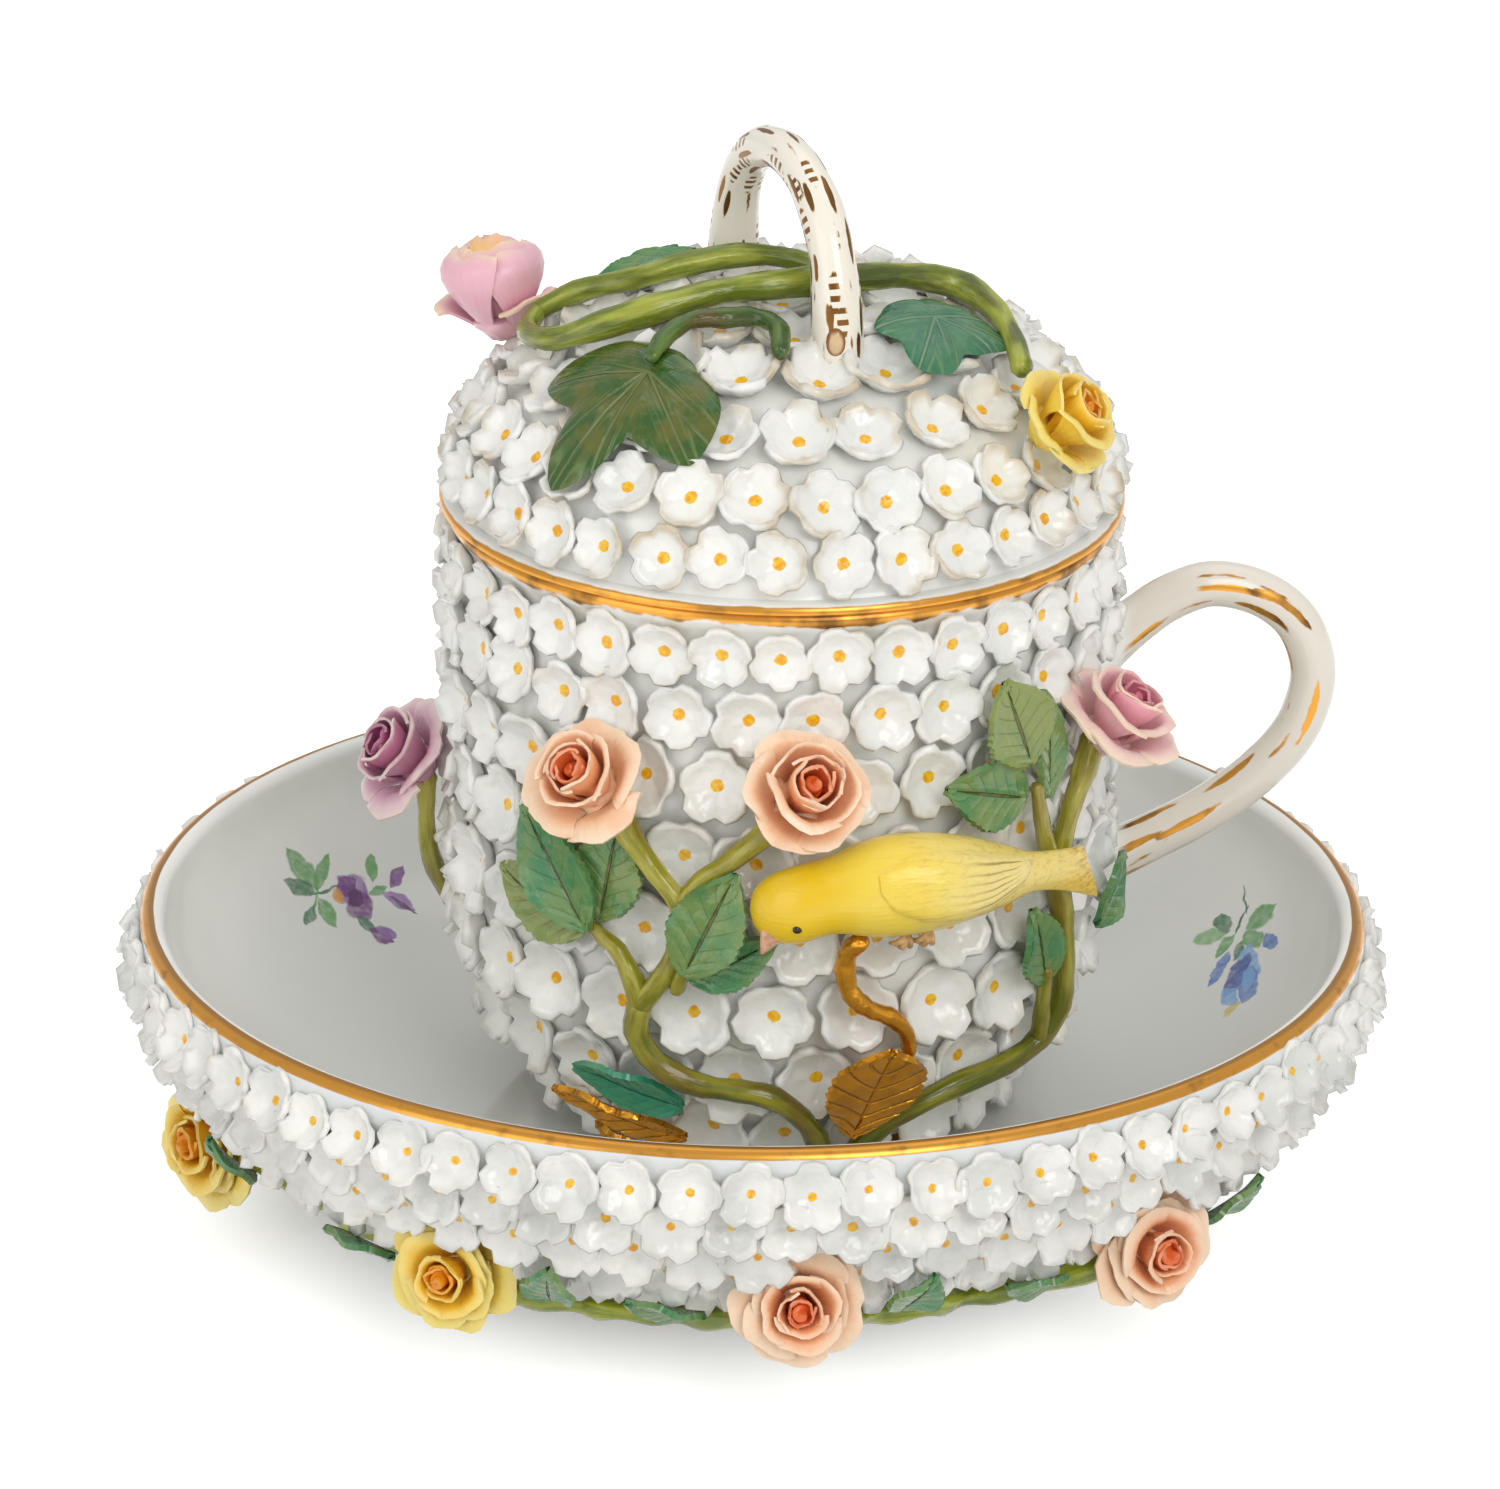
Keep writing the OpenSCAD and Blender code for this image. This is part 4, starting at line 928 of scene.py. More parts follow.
# rings of a blossom from the middle over the rim to the base: share of radius, share of height,
# how much the petals' lobes move it
BLOSSOM_RINGS = [
    (0.0, 0.12, 0.0), (0.38, 0.25, 0.3), (0.74, 0.62, 0.85), (0.92, 0.95, 1.0), (1.04, 0.7, 1.0),
    (0.66, 0.04, 0.5), (0.0, 0.0, 0.0)
]
PETALS = 5


def blossom(seed):
    """Mould one blossom of unit radius and height from a ball: five overlapping cupped petals"""
    rng = np.random.default_rng(seed)
    piece, ring, angle = ball(20, len(BLOSSOM_RINGS) - 1)
    r, h, lobe = np.array(BLOSSOM_RINGS)[ring].T
    turn = (angle % math.tau) / math.tau * PETALS
    petal_no = np.floor(turn + 1e-6).astype(int) % PETALS
    within = turn - np.floor(turn + 1e-6)
    notch = (within < 0.05).astype(float)
    reach = rng.uniform(-0.07, 0.05, PETALS)[petal_no] * (1 - notch)
    lift = rng.uniform(-0.2, 0.12, PETALS)[petal_no] * (1 - notch)
    overlap = 0.07 * ((within > 0.05) & (within < 0.4)) - 0.05 * (within > 0.6)
    round_off = 0.015 * (np.abs(within - 0.5) > 0.1)
    radius = r * (1 - lobe * (0.17 * notch + round_off) + lobe * reach)
    crease = np.array([0, 0.07, 0.27, 0.34, 0.2, 0, 0])[ring]
    height = (
        h * (1 + lobe * lift)
        - crease * notch
        + lobe * overlap * (h > 0.1)
        - 0.05 * (ring == 2) * (within == 0.5)
    )
    x, y = radius * np.cos(angle), radius * np.sin(angle)
    put_points(piece, x, y, height)
    mark(piece, x, y, np.array([0.0, 0.35, 0.75, 1.0, 0.9, -1.0, -1.0])[ring])
    return piece


def scatter(masters, places, name, nodes, glaze, seed):
    """Copy the modelled blossoms to their places, each turned, tilted and sized a little apart"""
    rng = random.Random(seed)
    pieces = []
    for matrix, radius, height in places:
        grow = rng.uniform(1.04, 1.15)
        lean = Matrix.Translation((rng.uniform(-0.35, 0.35), rng.uniform(-0.4, 0.4), 0))
        for axis in "XY":
            lean = lean @ Matrix.Rotation(math.radians(rng.uniform(-7, 7)), 4, axis)
        spin = Matrix.Rotation(rng.uniform(0, math.tau), 4, "Z")
        stretch = Matrix.Diagonal(
            (radius * grow * rng.uniform(0.94, 1.06), radius * grow, height * rng.uniform(0.88, 1.05), 1)
        )
        piece = copied(rng.choice(masters), matrix @ lean @ spin @ stretch)
        marks = marks_of(piece)
        marks[:, :2] *= radius * grow
        mark(piece, marks)
        pieces.append(piece)
    piece = joined(pieces, name)
    set_down(piece, nodes, [glaze], angle=180)


def clear_of(matrix, spots):
    """Whether a place lies clear of the handle's or the roses' own spots"""
    return all((matrix.translation - p).length > reach for p, reach in spots)


def row_count(r, size):
    """How many blossoms go round a row at 1 mm off the wall, each lapping over the next by 1.5 percent"""
    return int(math.floor(math.pi * (r + 1) / (size * 0.985)))


# rows of blossoms: place down the wall, radius of a blossom, start of the row
CUP_ROWS = [
    (92.6, 3.8, 0), (82.6, 4.2, 6), (71.4, 4.45, 2), (59, 4.7, 9), (46.2, 4.9, 4), (33, 5.05, 0),
    (20.4, 4.9, 8), (9, 4.5, 3)
]
LID_ROWS = [(10.5, 3.8, 0), (25.5, 4.05, 7), (41.5, 4.4, 3), (57, 4.9, 10), (70.5, 4.8, 5), (84, 4.4, 0)]
SAUCER_ROWS = [(8, 3.75, 0), (17.5, 3.85, 4), (28.5, 3.9, 1), (40, 3.9, 5), (52.5, 3.85, 2), (66, 3.7, 0)]
SAUCER_ROSE_R = 7.7
# roses under the saucer: degrees round, place down the wall, size, degrees round that they face
ROSES_YELLOW = [(-75, 42, 1.1, -50), (-31, 41, 0.98, -25), (115, 43, 0.97, 112), (158, 43, 0.95, 160)]
ROSES_PEACH = [(5, 38, 0.95, 3), (44.5, 40, 1.02, 32), (-158, 43, 0.97, -160), (-115, 43, 0.97, -112)]


class BLOSSOMCUP_OT_blossoms(Operator):
    """Press the small white blossoms and set them in rows round the cup, the lid and the saucer"""

    bl_idname = "blossomcup.blossoms"
    bl_label = "Blossoms"

    def execute(self, context):
        s, c = sizes(), colours()
        masters = [blossom(seed) for seed in range(6)]
        handle = [
            (cup_place(s, LOOP_TURN, 100 * z / s.cup_h, 0).translation, 7.6)
            for z in (LOOP_FOOT + 2, LOOP_FOOT + LOOP_HIGH * 0.77)
        ]
        cup = []
        for percent, size, start in CUP_ROWS:
            n = row_count(cup_wall_r(s, s.cup_h * percent / 100), size)
            for i in range(n):
                m = cup_place(s, start + 360 * i / n, percent, 0.15)
                if clear_of(m, handle):
                    cup.append((tipped(m, 3 + 0.55 * max(0, 55 - percent)), size, s.blossom_h * size / 4.4))
        scatter(
            masters, cup, "blossoms_of_cup", ["cup_blossoms"],
            blossom_glaze("pressed_blossom_cup", c, 0.25), 3
        )
        q, way = TWIG_SPAN / 2 / s.lid_unit, math.radians(TWIG_TURN)
        feet = [
            (lid_place(s, k * q * math.sin(way), -k * q * math.cos(way), 0).translation, 5.0)
            for k in (-1, 1)
        ]
        lid = []
        for t, size, start in LID_ROWS:
            r = s.dome_r * math.cos(math.radians(t))
            n = row_count(r, size)
            for i in range(n):
                a = math.radians(start + 360 * i / n)
                m = lid_place(s, math.sin(a) * r / s.lid_unit, -math.cos(a) * r / s.lid_unit, 0)
                m.translation += m.col[2].to_3d() * 0.15
                if clear_of(m, feet):
                    lid.append((m, size, s.blossom_h * size / 4.0))
        scatter(
            masters, lid, "blossoms_of_lid", ["lid_blossoms"], blossom_glaze("pressed_blossom_lid", c, 0.9),
            4
        )
        spots = [(saucer_place(s, a, t, 0).translation, 7.4) for a, t, _, _ in ROSES_YELLOW + ROSES_PEACH]
        saucer = []
        for t, size, start in SAUCER_ROWS:
            n = row_count(s.bend_r + (s.saucer_r - s.bend_r) * math.cos(math.radians(t)), size)
            for i in range(n):
                m = saucer_place(s, start + 360 * i / n, t, 0.15)
                if clear_of(m, spots):
                    saucer.append((tipped(m, 27), size * 1.03, s.blossom_h))
        # the saucer's blossoms have smaller dots, and a greyer white that is painted shade, as they sit under
        # the rim
        scatter(
            masters, saucer, "blossoms_of_saucer", ["saucer_blossoms"],
            blossom_glaze("pressed_blossom_saucer", c, 0.2, 0.78, "D9DAD5"), 5
        )
        scrap(*masters)
        return {"FINISHED"}


# Stems
def cup_rod(s, path, k=3, sides=12):
    line = smooth_path(path, k)
    lumps = 1 + 0.06 * np.sin(np.arange(len(line)) * 0.8) + 0.05 * np.sin(np.arange(len(line)) * 2.1 + 1)
    return rod([cup_place(s, a, u, d).translation for a, u, d, _ in line], line[:, 3] * lumps, sides)


def lid_rod(s, path, k=4, sides=14):
    line = smooth_path(path, k)
    lumps = 1 + 0.1 * np.sin(np.arange(len(line)) * 0.55) + 0.05 * np.sin(np.arange(len(line)) * 1.7 + 1)
    return rod([lid_place(s, x, y, d).translation for x, y, d, _ in line], line[:, 3] * 0.88 * lumps, sides)


# stems of the cup's sprays: piece, node, and for each stem degrees round, percent of the height, radius
STEMS = [
    (
        "stem_left", "left_rose_branch",
        [
            [
                (11, 7.5, 1.5), (8.5, 13.5, 1.5), (5, 18, 1.5), (0, 21.8, 1.5), (-6, 23, 1.5),
                (-12.5, 23.4, 1.55), (-18, 25, 1.6), (-21.8, 27.8, 1.6), (-23.5, 31.5, 1.6),
                (-22.5, 36, 1.6)
            ],
            [(-22.5, 36, 1.5), (-23.5, 40, 1.35), (-26, 44, 1.2), (-28.4, 45.4, 1), (-30.3, 46.9, 0.8)],
            [
                (-22.5, 36, 1.5), (-18, 41.5, 1.35), (-16, 46.5, 1.25), (-15.5, 53, 1.25),
                (-19.5, 58, 1.35), (-24, 63.5, 1.7), (-27, 68.5, 1.9)
            ],
            [(-15.5, 53, 1.25), (-12, 57.5, 1.25), (-7, 61.5, 1.4), (-1.5, 66.5, 1.6), (1.8, 70.5, 1.7)],
            [(-16, 39.5, 1), (-15, 42, 0.95), (-14, 44, 0.8)]
        ]
    ),
    (
        "stem_right", "right_rose_branch",
        [
            [
                (17, 8, 1.5), (19.5, 13.5, 1.5), (25.5, 17.5, 1.5), (35, 20.5, 1.5), (46, 21.5, 1.5),
                (54, 23.5, 1.55), (57, 28.5, 1.55), (55, 36, 1.5), (53, 44, 1.45), (51.5, 50, 1.5)
            ],
            [(51.5, 50, 1.35), (48.5, 56, 1.25), (46.6, 62, 1.1), (45.3, 67.5, 0.8)],
            [(51.5, 50, 1.35), (52, 56, 1.3), (54.5, 62, 1.35), (57.5, 66.5, 1.5), (60.2, 71, 1.7)],
            [(54, 23.5, 1.2), (52, 28, 1.1), (50.8, 32, 1), (50.3, 36, 0.8)]
        ]
    ),
    (
        "stem_side", "side_rose_branch",
        [
            [
                (-104, 8, 1.5), (-106, 17, 1.5), (-103, 27, 1.5), (-96, 35, 1.3), (-90, 42, 1.2),
                (-87, 49.5, 1.2), (-86.5, 53.5, 1.4)
            ]
        ]
    )
]


class BLOSSOMCUP_OT_stems(Operator):
    """Roll the stems of the sprays on the cup and the gilded twig under the bird"""

    bl_idname = "blossomcup.stems"
    bl_label = "Stems on the cup"

    def execute(self, context):
        s, c = sizes(), colours()
        off = s.stem_off
        olive = enamel_stem(
            "enamelled_stem", c.stem, "BDB552", "6E4E1E", 0.5, "4E5A12",
            (s.seat_z + 10, s.seat_z + 42)
        )
        for name, node_name, paths in STEMS:
            stems = [cup_rod(s, [(a, u, off, r) for a, u, r in path]) for path in paths]
            set_down(joined(stems, name), [node_name], [olive])
        path = [
            (12.6, 49, off + 2.4, 1.2), (11.2, 46.5, off + 0.8, 1.25), (11, 43, off, 1.3),
            (12, 39.5, off, 1.25), (15, 36.8, off, 1.2), (19, 35, off, 1.15), (22, 32, off, 1.05),
            (23, 28.5, off, 0.9)
        ]
        piece = joined([cup_rod(s, path, 5, 14)], "twig_gilt")
        set_down(piece, ["gilt_twig"], [gilded("burnished_gold_twig", c, 0.0)])
        return {"FINISHED"}


# Roses

# rounds of petals, from the heart out: number, radius and height at the foot, radius and height at
# the tip, half of the angle that a petal covers, belly, how far its edge rolls out, how round its tip is
OPEN_ROSE = [
    (3, 0.10, -0.15, 0.19, 0.50, 95, 0.05, 0.02, 0.12),
    (3, 0.16, -0.22, 0.36, 0.48, 80, 0.07, 0.06, 0.18),
    (4, 0.22, -0.32, 0.62, 0.34, 62, 0.08, 0.10, 0.28),
    (5, 0.26, -0.38, 0.80, 0.20, 50, 0.07, 0.12, 0.32),
    (5, 0.28, -0.44, 1.03, 0.00, 46, 0.04, 0.14, 0.34),
]
CUPPED_ROSE = [
    (3, 0.12, -0.20, 0.22, 0.64, 92, 0.08, 0.02, 0.10),
    (3, 0.18, -0.28, 0.36, 0.66, 84, 0.12, 0.06, 0.16),
    (3, 0.24, -0.36, 0.60, 0.52, 72, 0.14, 0.12, 0.22),
    (5, 0.28, -0.46, 0.98, 0.12, 50, 0.10, 0.16, 0.30),
]
BUD_ROSE = [
    (3, 0.10, 0.0, 0.06, 0.98, 95, 0.20, 0.02, 0.10),
    (3, 0.15, -0.30, 0.16, 1.0, 84, 0.46, 0.03, 0.12),
    (3, 0.20, -0.50, 0.30, 0.86, 76, 0.52, 0.06, 0.16),
    (2, 0.24, -0.52, 0.86, 0.02, 56, 0.16, 0.10, 0.24),
]


# enamels of the roses: the heart, the middle, the outer petals and the edges
ROSE_ENAMELS = [
    ("peach_enamel", "E4682E", "F0A876", "F4C9A2", "F7E0C4"),
    ("yellow_enamel", "E88C14", "EFBE30", "F1D45C", "F4E38E"),
    ("pink_enamel", "BE3468", "E6A0AC", "F0CBCA", "F4E2C4"),
    ("mauve_enamel", "8E2E60", "B8708E", "D0A2B4", "E8D8CE"),
    ("bud_enamel", "EBC070", "E8ACBC", "EABAC4", "F3DFB4"),
]


def petal(foot_r, foot_h, tip_r, tip_h, half, belly, roll, tip_round, seed):
    """Mould one petal about the rose's axis from a flat sheet, with a crumpled edge"""
    rng = np.random.default_rng(seed)
    piece, s_, t_ = sheet(10, 8)
    a, b, c, d = rng.uniform(-math.pi, math.pi, 4)
    t2 = t_ * (1 - tip_round * np.abs(s_) ** 2.6)
    crumple = t2**2 * (0.6 + 0.4 * tip_r)
    r = foot_r + (tip_r - foot_r) * t2**1.15 + belly * np.sin(math.pi * t2)
    h = foot_h + (tip_h - foot_h) * np.sin(t2 * math.pi / 2) ** 0.9
    lip = np.clip((t_ - 0.65) / 0.35, 0, 1) ** 2
    r = (
        r
        + roll * lip * (0.9 + 0.5 * math.sin(a))
        + crumple * (0.045 * np.sin(4.2 * s_ + b) + 0.02 * np.sin(9 * s_ + c))
    )
    h = h - roll * lip * 0.55 + crumple * (0.05 * np.sin(3.4 * s_ + c) + 0.025 * np.sin(8 * s_ + d))
    turn = np.radians(half) * s_ * (0.5 + 0.5 * np.sin(np.clip(t2, 0, 1) * math.pi / 2))
    r = r + 0.035 * np.clip(s_, 0, 1)
    put_points(piece, r * np.cos(turn), r * np.sin(turn), h)
    mark(piece, 0, t_, s_)
    modify(piece, "SOLIDIFY", thickness=0.05, offset=0)
    return piece


def rose_master(seed, rounds, wilt=0.05):
    """Build a rose of unit radius: rounds of petals about a wound heart, on a calyx"""
    rng = random.Random(seed)
    pieces = []
    for k, (count, fr, fh, tr, th, half, belly, roll, tip_round) in enumerate(rounds):
        start = rng.uniform(0, math.tau)
        layer = (k + 0.6) / len(rounds)
        for i in range(count):
            p = petal(
                fr, fh, tr * rng.uniform(0.9, 1.07), th + rng.uniform(-wilt, wilt),
                half * rng.uniform(0.92, 1.12), belly, roll * rng.uniform(0.5, 1.3), tip_round,
                rng.randrange(10**6)
            )
            marks = marks_of(p)
            marks[:, 0] = layer + 0.12 * marks[:, 1]
            mark(p, marks)
            p.data.transform(Matrix.Rotation(start + math.tau * (i + rng.uniform(-0.1, 0.1)) / count, 4, "Z"))
            pieces.append(p)
    heart, ring, angle = ball(18, 14)
    down = ring / 14
    q = 0.17 * np.sin(np.clip(down * 1.25, 0, 1) * math.pi / 2) ** 0.7 * (down < 0.999)
    q = q * (1 + 0.16 * np.sin(angle + 13 * down))
    h = 0.60 - 0.75 * down**1.6 + 0.05 * np.sin(angle + 13 * down) * (down > 0.03) * (down < 0.6)
    put_points(heart, q * np.cos(angle), q * np.sin(angle), h)
    mark(heart, 0.12 * down + 0.05 * np.sin(angle + 13 * down), down, 0)
    calyx, ring, angle = ball(15, 6)
    q = np.array([0.0, 0.3, 0.42, 0.40, 0.30, 0.22, 0.0])[ring] * (1 + 0.12 * np.cos(5 * angle))
    h = np.array([-0.2, -0.2, -0.26, -0.36, -0.46, -0.58, -0.61])[ring]
    put_points(calyx, q * np.cos(angle), q * np.sin(angle), h)
    mark(calyx, np.tile([1.0, 0.3, 0.0], (len(q), 1)))
    return joined(pieces + [heart, calyx], f"rose_{seed}")


class BLOSSOMCUP_OT_roses(Operator):
    """Build the enamelled roses of the cup, the lid and the saucer from thin petals"""

    bl_idname = "blossomcup.roses"
    bl_label = "Roses"

    def execute(self, context):
        s = sizes()
        opened = [rose_master(k, OPEN_ROSE) for k in (1, 2, 3)]
        cupped = [rose_master(k, CUPPED_ROSE, 0.08) for k in (11, 12, 13)]
        bud = rose_master(7, BUD_ROSE, 0.1)
        enamels = [petal_enamel(name, *shades) for name, *shades in ROSE_ENAMELS]
        peach, yellow, pink, mauve, bud_pink = enamels
        off = s.over_h + s.rose_r * 0.55
        for name, node_name, slot, glaze, source, m, tip, turn, share in (
            (
                "rose_peach_left", "peach_rose_left", "peach_roses", peach, cupped[0],
                cup_place(s, -29.5, 72.5, off), 44, -8, 0.97
            ),
            (
                "rose_peach_middle", "peach_rose_middle", "peach_roses", peach, cupped[1],
                cup_place(s, 3.8, 74.2, off), 38, 14, 1.05
            ),
            (
                "rose_pink_right", "pink_rose_right", "pink_roses", pink, cupped[2],
                cup_place(s, 61.5, 74.3, off), 58, 6, 1.0
            ),
            (
                "rose_mauve_side", "mauve_rose_side", "mauve_rose", mauve, cupped[0],
                cup_place(s, -86, 57.3, off), 40, 14, 0.95
            ),
            (
                "rose_pink_lid", "lid_pink_rose", "pink_roses", bud_pink, bud,
                lid_place(s, -34.15, 7.8, off + 0.3), 24, 0, 1.06
            ),
            (
                "rose_yellow_lid", "lid_yellow_rose", "yellow_roses", yellow, cupped[1],
                lid_place(s, 33.66, -22.44, off + 0.3), -4, 8, 0.97
            )
        ):
            aimed = tipped(m, tip) @ Matrix.Rotation(math.radians(turn), 4, "Y")
            if source is bud:
                aimed = aimed @ Matrix.Translation((0, -1.2, -0.6))
            piece = joined([copied(source, aimed @ Matrix.Scale(s.rose_r * share, 4))], name)
            set_down(piece, [node_name], [glaze], angle=70)
        for name, node_name, slot, glaze, ring in (
            ("roses_yellow_saucer", "saucer_yellow_roses", "yellow_roses", yellow, ROSES_YELLOW),
            ("roses_peach_saucer", "saucer_peach_roses", "peach_roses", peach, ROSES_PEACH),
        ):
            copies = []
            for i, (a, t, share, way) in enumerate(ring):
                m = tipped(facing(saucer_place(s, a, t, 5.1 * share**2), way), 6)
                m = m @ Matrix.Rotation(i * 1.3, 4, "Z") @ Matrix.Scale(SAUCER_ROSE_R * share, 4)
                copies.append(copied(opened[i % 3], m))
            set_down(joined(copies, name), [node_name], [glaze], angle=70)
        scrap(bud, *opened, *cupped)
        return {"FINISHED"}


# Leaves
def leaf(m, length, width, turn, bend, tone=0.3, widest=0.44, teeth=11, fold=1.0, seed=0, full=0.75):
    """Mould a leaf from a flat sheet: toothed edge, sunk midrib, raised veins, sides that cup upward"""
    piece, s_, t_ = sheet(14, 34)
    rng = np.random.default_rng(seed)
    a, b = rng.uniform(-math.pi, math.pi, 2)
    power = math.log(0.5) / math.log(widest)
    outline = np.maximum(0.09, np.sin(math.pi * t_**power).clip(0) ** full)
    tooth = 1 + 0.11 * (np.abs(s_) > 0.93) * ((t_ * teeth) % 1 - 0.4) * np.sin(math.pi * t_).clip(0) ** 0.3
    x = length * t_
    y = s_ * 0.5 * width * outline * tooth
    z = fold * 0.11 * width * np.abs(s_) ** 1.6 * outline
    z = z + 0.35 * np.sin(5 * t_ + a) * s_ * np.abs(s_) + 0.25 * np.sin(11 * t_ + b) * np.abs(s_) ** 3
    z = z + 0.13 * np.cos(2 * math.pi * (6.5 * t_ - 1.8 * np.abs(s_))) * np.sin(math.pi * np.abs(s_)).clip(0)
    z = z - 0.22 * np.exp(-((s_ / 0.09) ** 2)) + 0.05 * length * np.clip(t_ - 0.75, 0, 1) * math.sin(b) * 4
    q = math.radians(turn)
    px, py = x * math.cos(q) - y * math.sin(q), x * math.sin(q) + y * math.cos(q)
    z = z - px**2 / (2 * bend[0]) - py**2 / (2 * bend[1])
    put_points(piece, px, py, z)
    mark(piece, s_, t_, tone)
    modify(piece, "SOLIDIFY", thickness=0.8, offset=-0.4)
    outward(piece)
    piece.data.transform(m)
    return piece


def spread_leaf(m, lobes, size, bend, thick=1.2):
    """Mould a lobed vine leaf from a flattened ball, with lobes at chosen bearings"""
    piece, ring, angle = ball(72, 10)
    bearings = np.radians([b for b, _ in lobes])
    reach = np.array([q for _, q in lobes])
    wrapped = np.concatenate([bearings - math.tau, bearings, bearings + math.tau])
    tripled = np.concatenate([reach] * 3)
    outline = np.interp(angle, wrapped, tripled)
    for shift in (-0.05, 0.05):
        outline = outline + np.interp(angle + shift, wrapped, tripled)
    outline = outline / 3 * size
    share = np.sin(ring / 10 * math.pi) ** 0.75
    flat = np.cos(ring / 10 * math.pi)
    r = share * outline
    px, py = r * np.cos(angle), r * np.sin(angle)
    swell = 0.35 * np.cos(angle * 5) * share**2 * (1 - share) * 4
    z = flat * thick / 2 + swell - (px**2 + py**2) / (2 * bend)
    z = z + 0.5 * (flat > 0) * share * (1 - share)
    put_points(piece, px, py, z)
    nearest = np.min(
        np.abs((angle[:, None] - bearings[None, reach > np.median(reach)] + math.pi) % math.tau - math.pi),
        axis=1
    )
    mark(piece, nearest * r / 4, share, 0)
    outward(piece)
    piece.data.transform(m)
    return piece


# leaves on the cup: node, piece, slot and finish, and for each leaf degrees round, percent of the height,
# extra distance off, length, width, turn, and tone from emerald 0 to olive 1
CUP_LEAVES = [
    (
        "left_leaves", "leaves_left", "green_leaves", "green",
        [
            (-31, 46.5, 0.7, 15.5, 9.6, 164, 0.95), (-30.5, 47, 2.3, 17.5, 10, 124, 0.05),
            (-29.3, 48.3, 0.7, 13.5, 9.5, 80, 0.4)
        ]
    ),
    (
        "middle_leaves", "leaves_middle", "green_leaves", "green",
        [(-14, 43, 3.2, 15, 9.6, 66, 0.3), (-13.6, 40.8, 0.7, 12, 7, 32, 0.15)]
    ),
    (
        "upper_right_leaves", "leaves_upper_right", "green_leaves", "green",
        [
            (43, 66.5, 0.7, 12.5, 9, 163, 0.3), (42.5, 72.5, 1.7, 12.8, 10.2, 112, 0.95),
            (48.2, 65.2, 0.7, 14, 5.8, 92, 0.4)
        ]
    ),
    (
        "lower_right_leaves", "leaves_lower_right", "green_leaves", "green",
        [(50.5, 34, 0.7, 12.5, 7.5, 112, 0.1), (66, 38.5, 0.7, 11.5, 7.6, 30, 0.0)]
    ),
    ("teal_leaf", "leaf_teal", "teal_leaves", "teal", [(-17, 19, 0.7, 14.5, 7, 167, 0)]),
    (
        "gilt_low_leaves", "leaves_gilt_low", "gilding", "gold",
        [(-18, 12.4, 0.7, 18, 5.6, 170, 0), (-21, 6.6, 0.7, 12, 4.6, 172, 0)]
    ),
    ("gilt_leaf", "leaf_gilt", "gilding", "gold", [(14.8, 14.8, 1.6, 17, 12.6, 80, 0)])
]
# lobed leaves on the lid: bearing in degrees, and how far the edge reaches there
FRONT_LOBES = [
    (20, 5.5), (55, 4.5), (95, 4.5), (130, 6), (155, 9), (178, 12), (195, 13), (212, 10.5), (225, 8.5),
    (240, 13), (255, 16.5), (270, 13), (284, 8), (302, 10.5), (320, 13.5), (338, 11.5), (357, 9.5)
]
RIGHT_LOBES = [
    (10, 6), (35, 6), (60, 4.5), (95, 5.5), (130, 6.5), (155, 8.5), (180, 7), (205, 10.5), (228, 10),
    (250, 6.5), (285, 8), (310, 10.5), (335, 8.5)
]
# leaves under the saucer are measured in the roses' radius that the solids have
LEAF_UNIT = 7.6
SAUCER_RING = sorted(rose[0] for rose in ROSES_YELLOW + ROSES_PEACH)


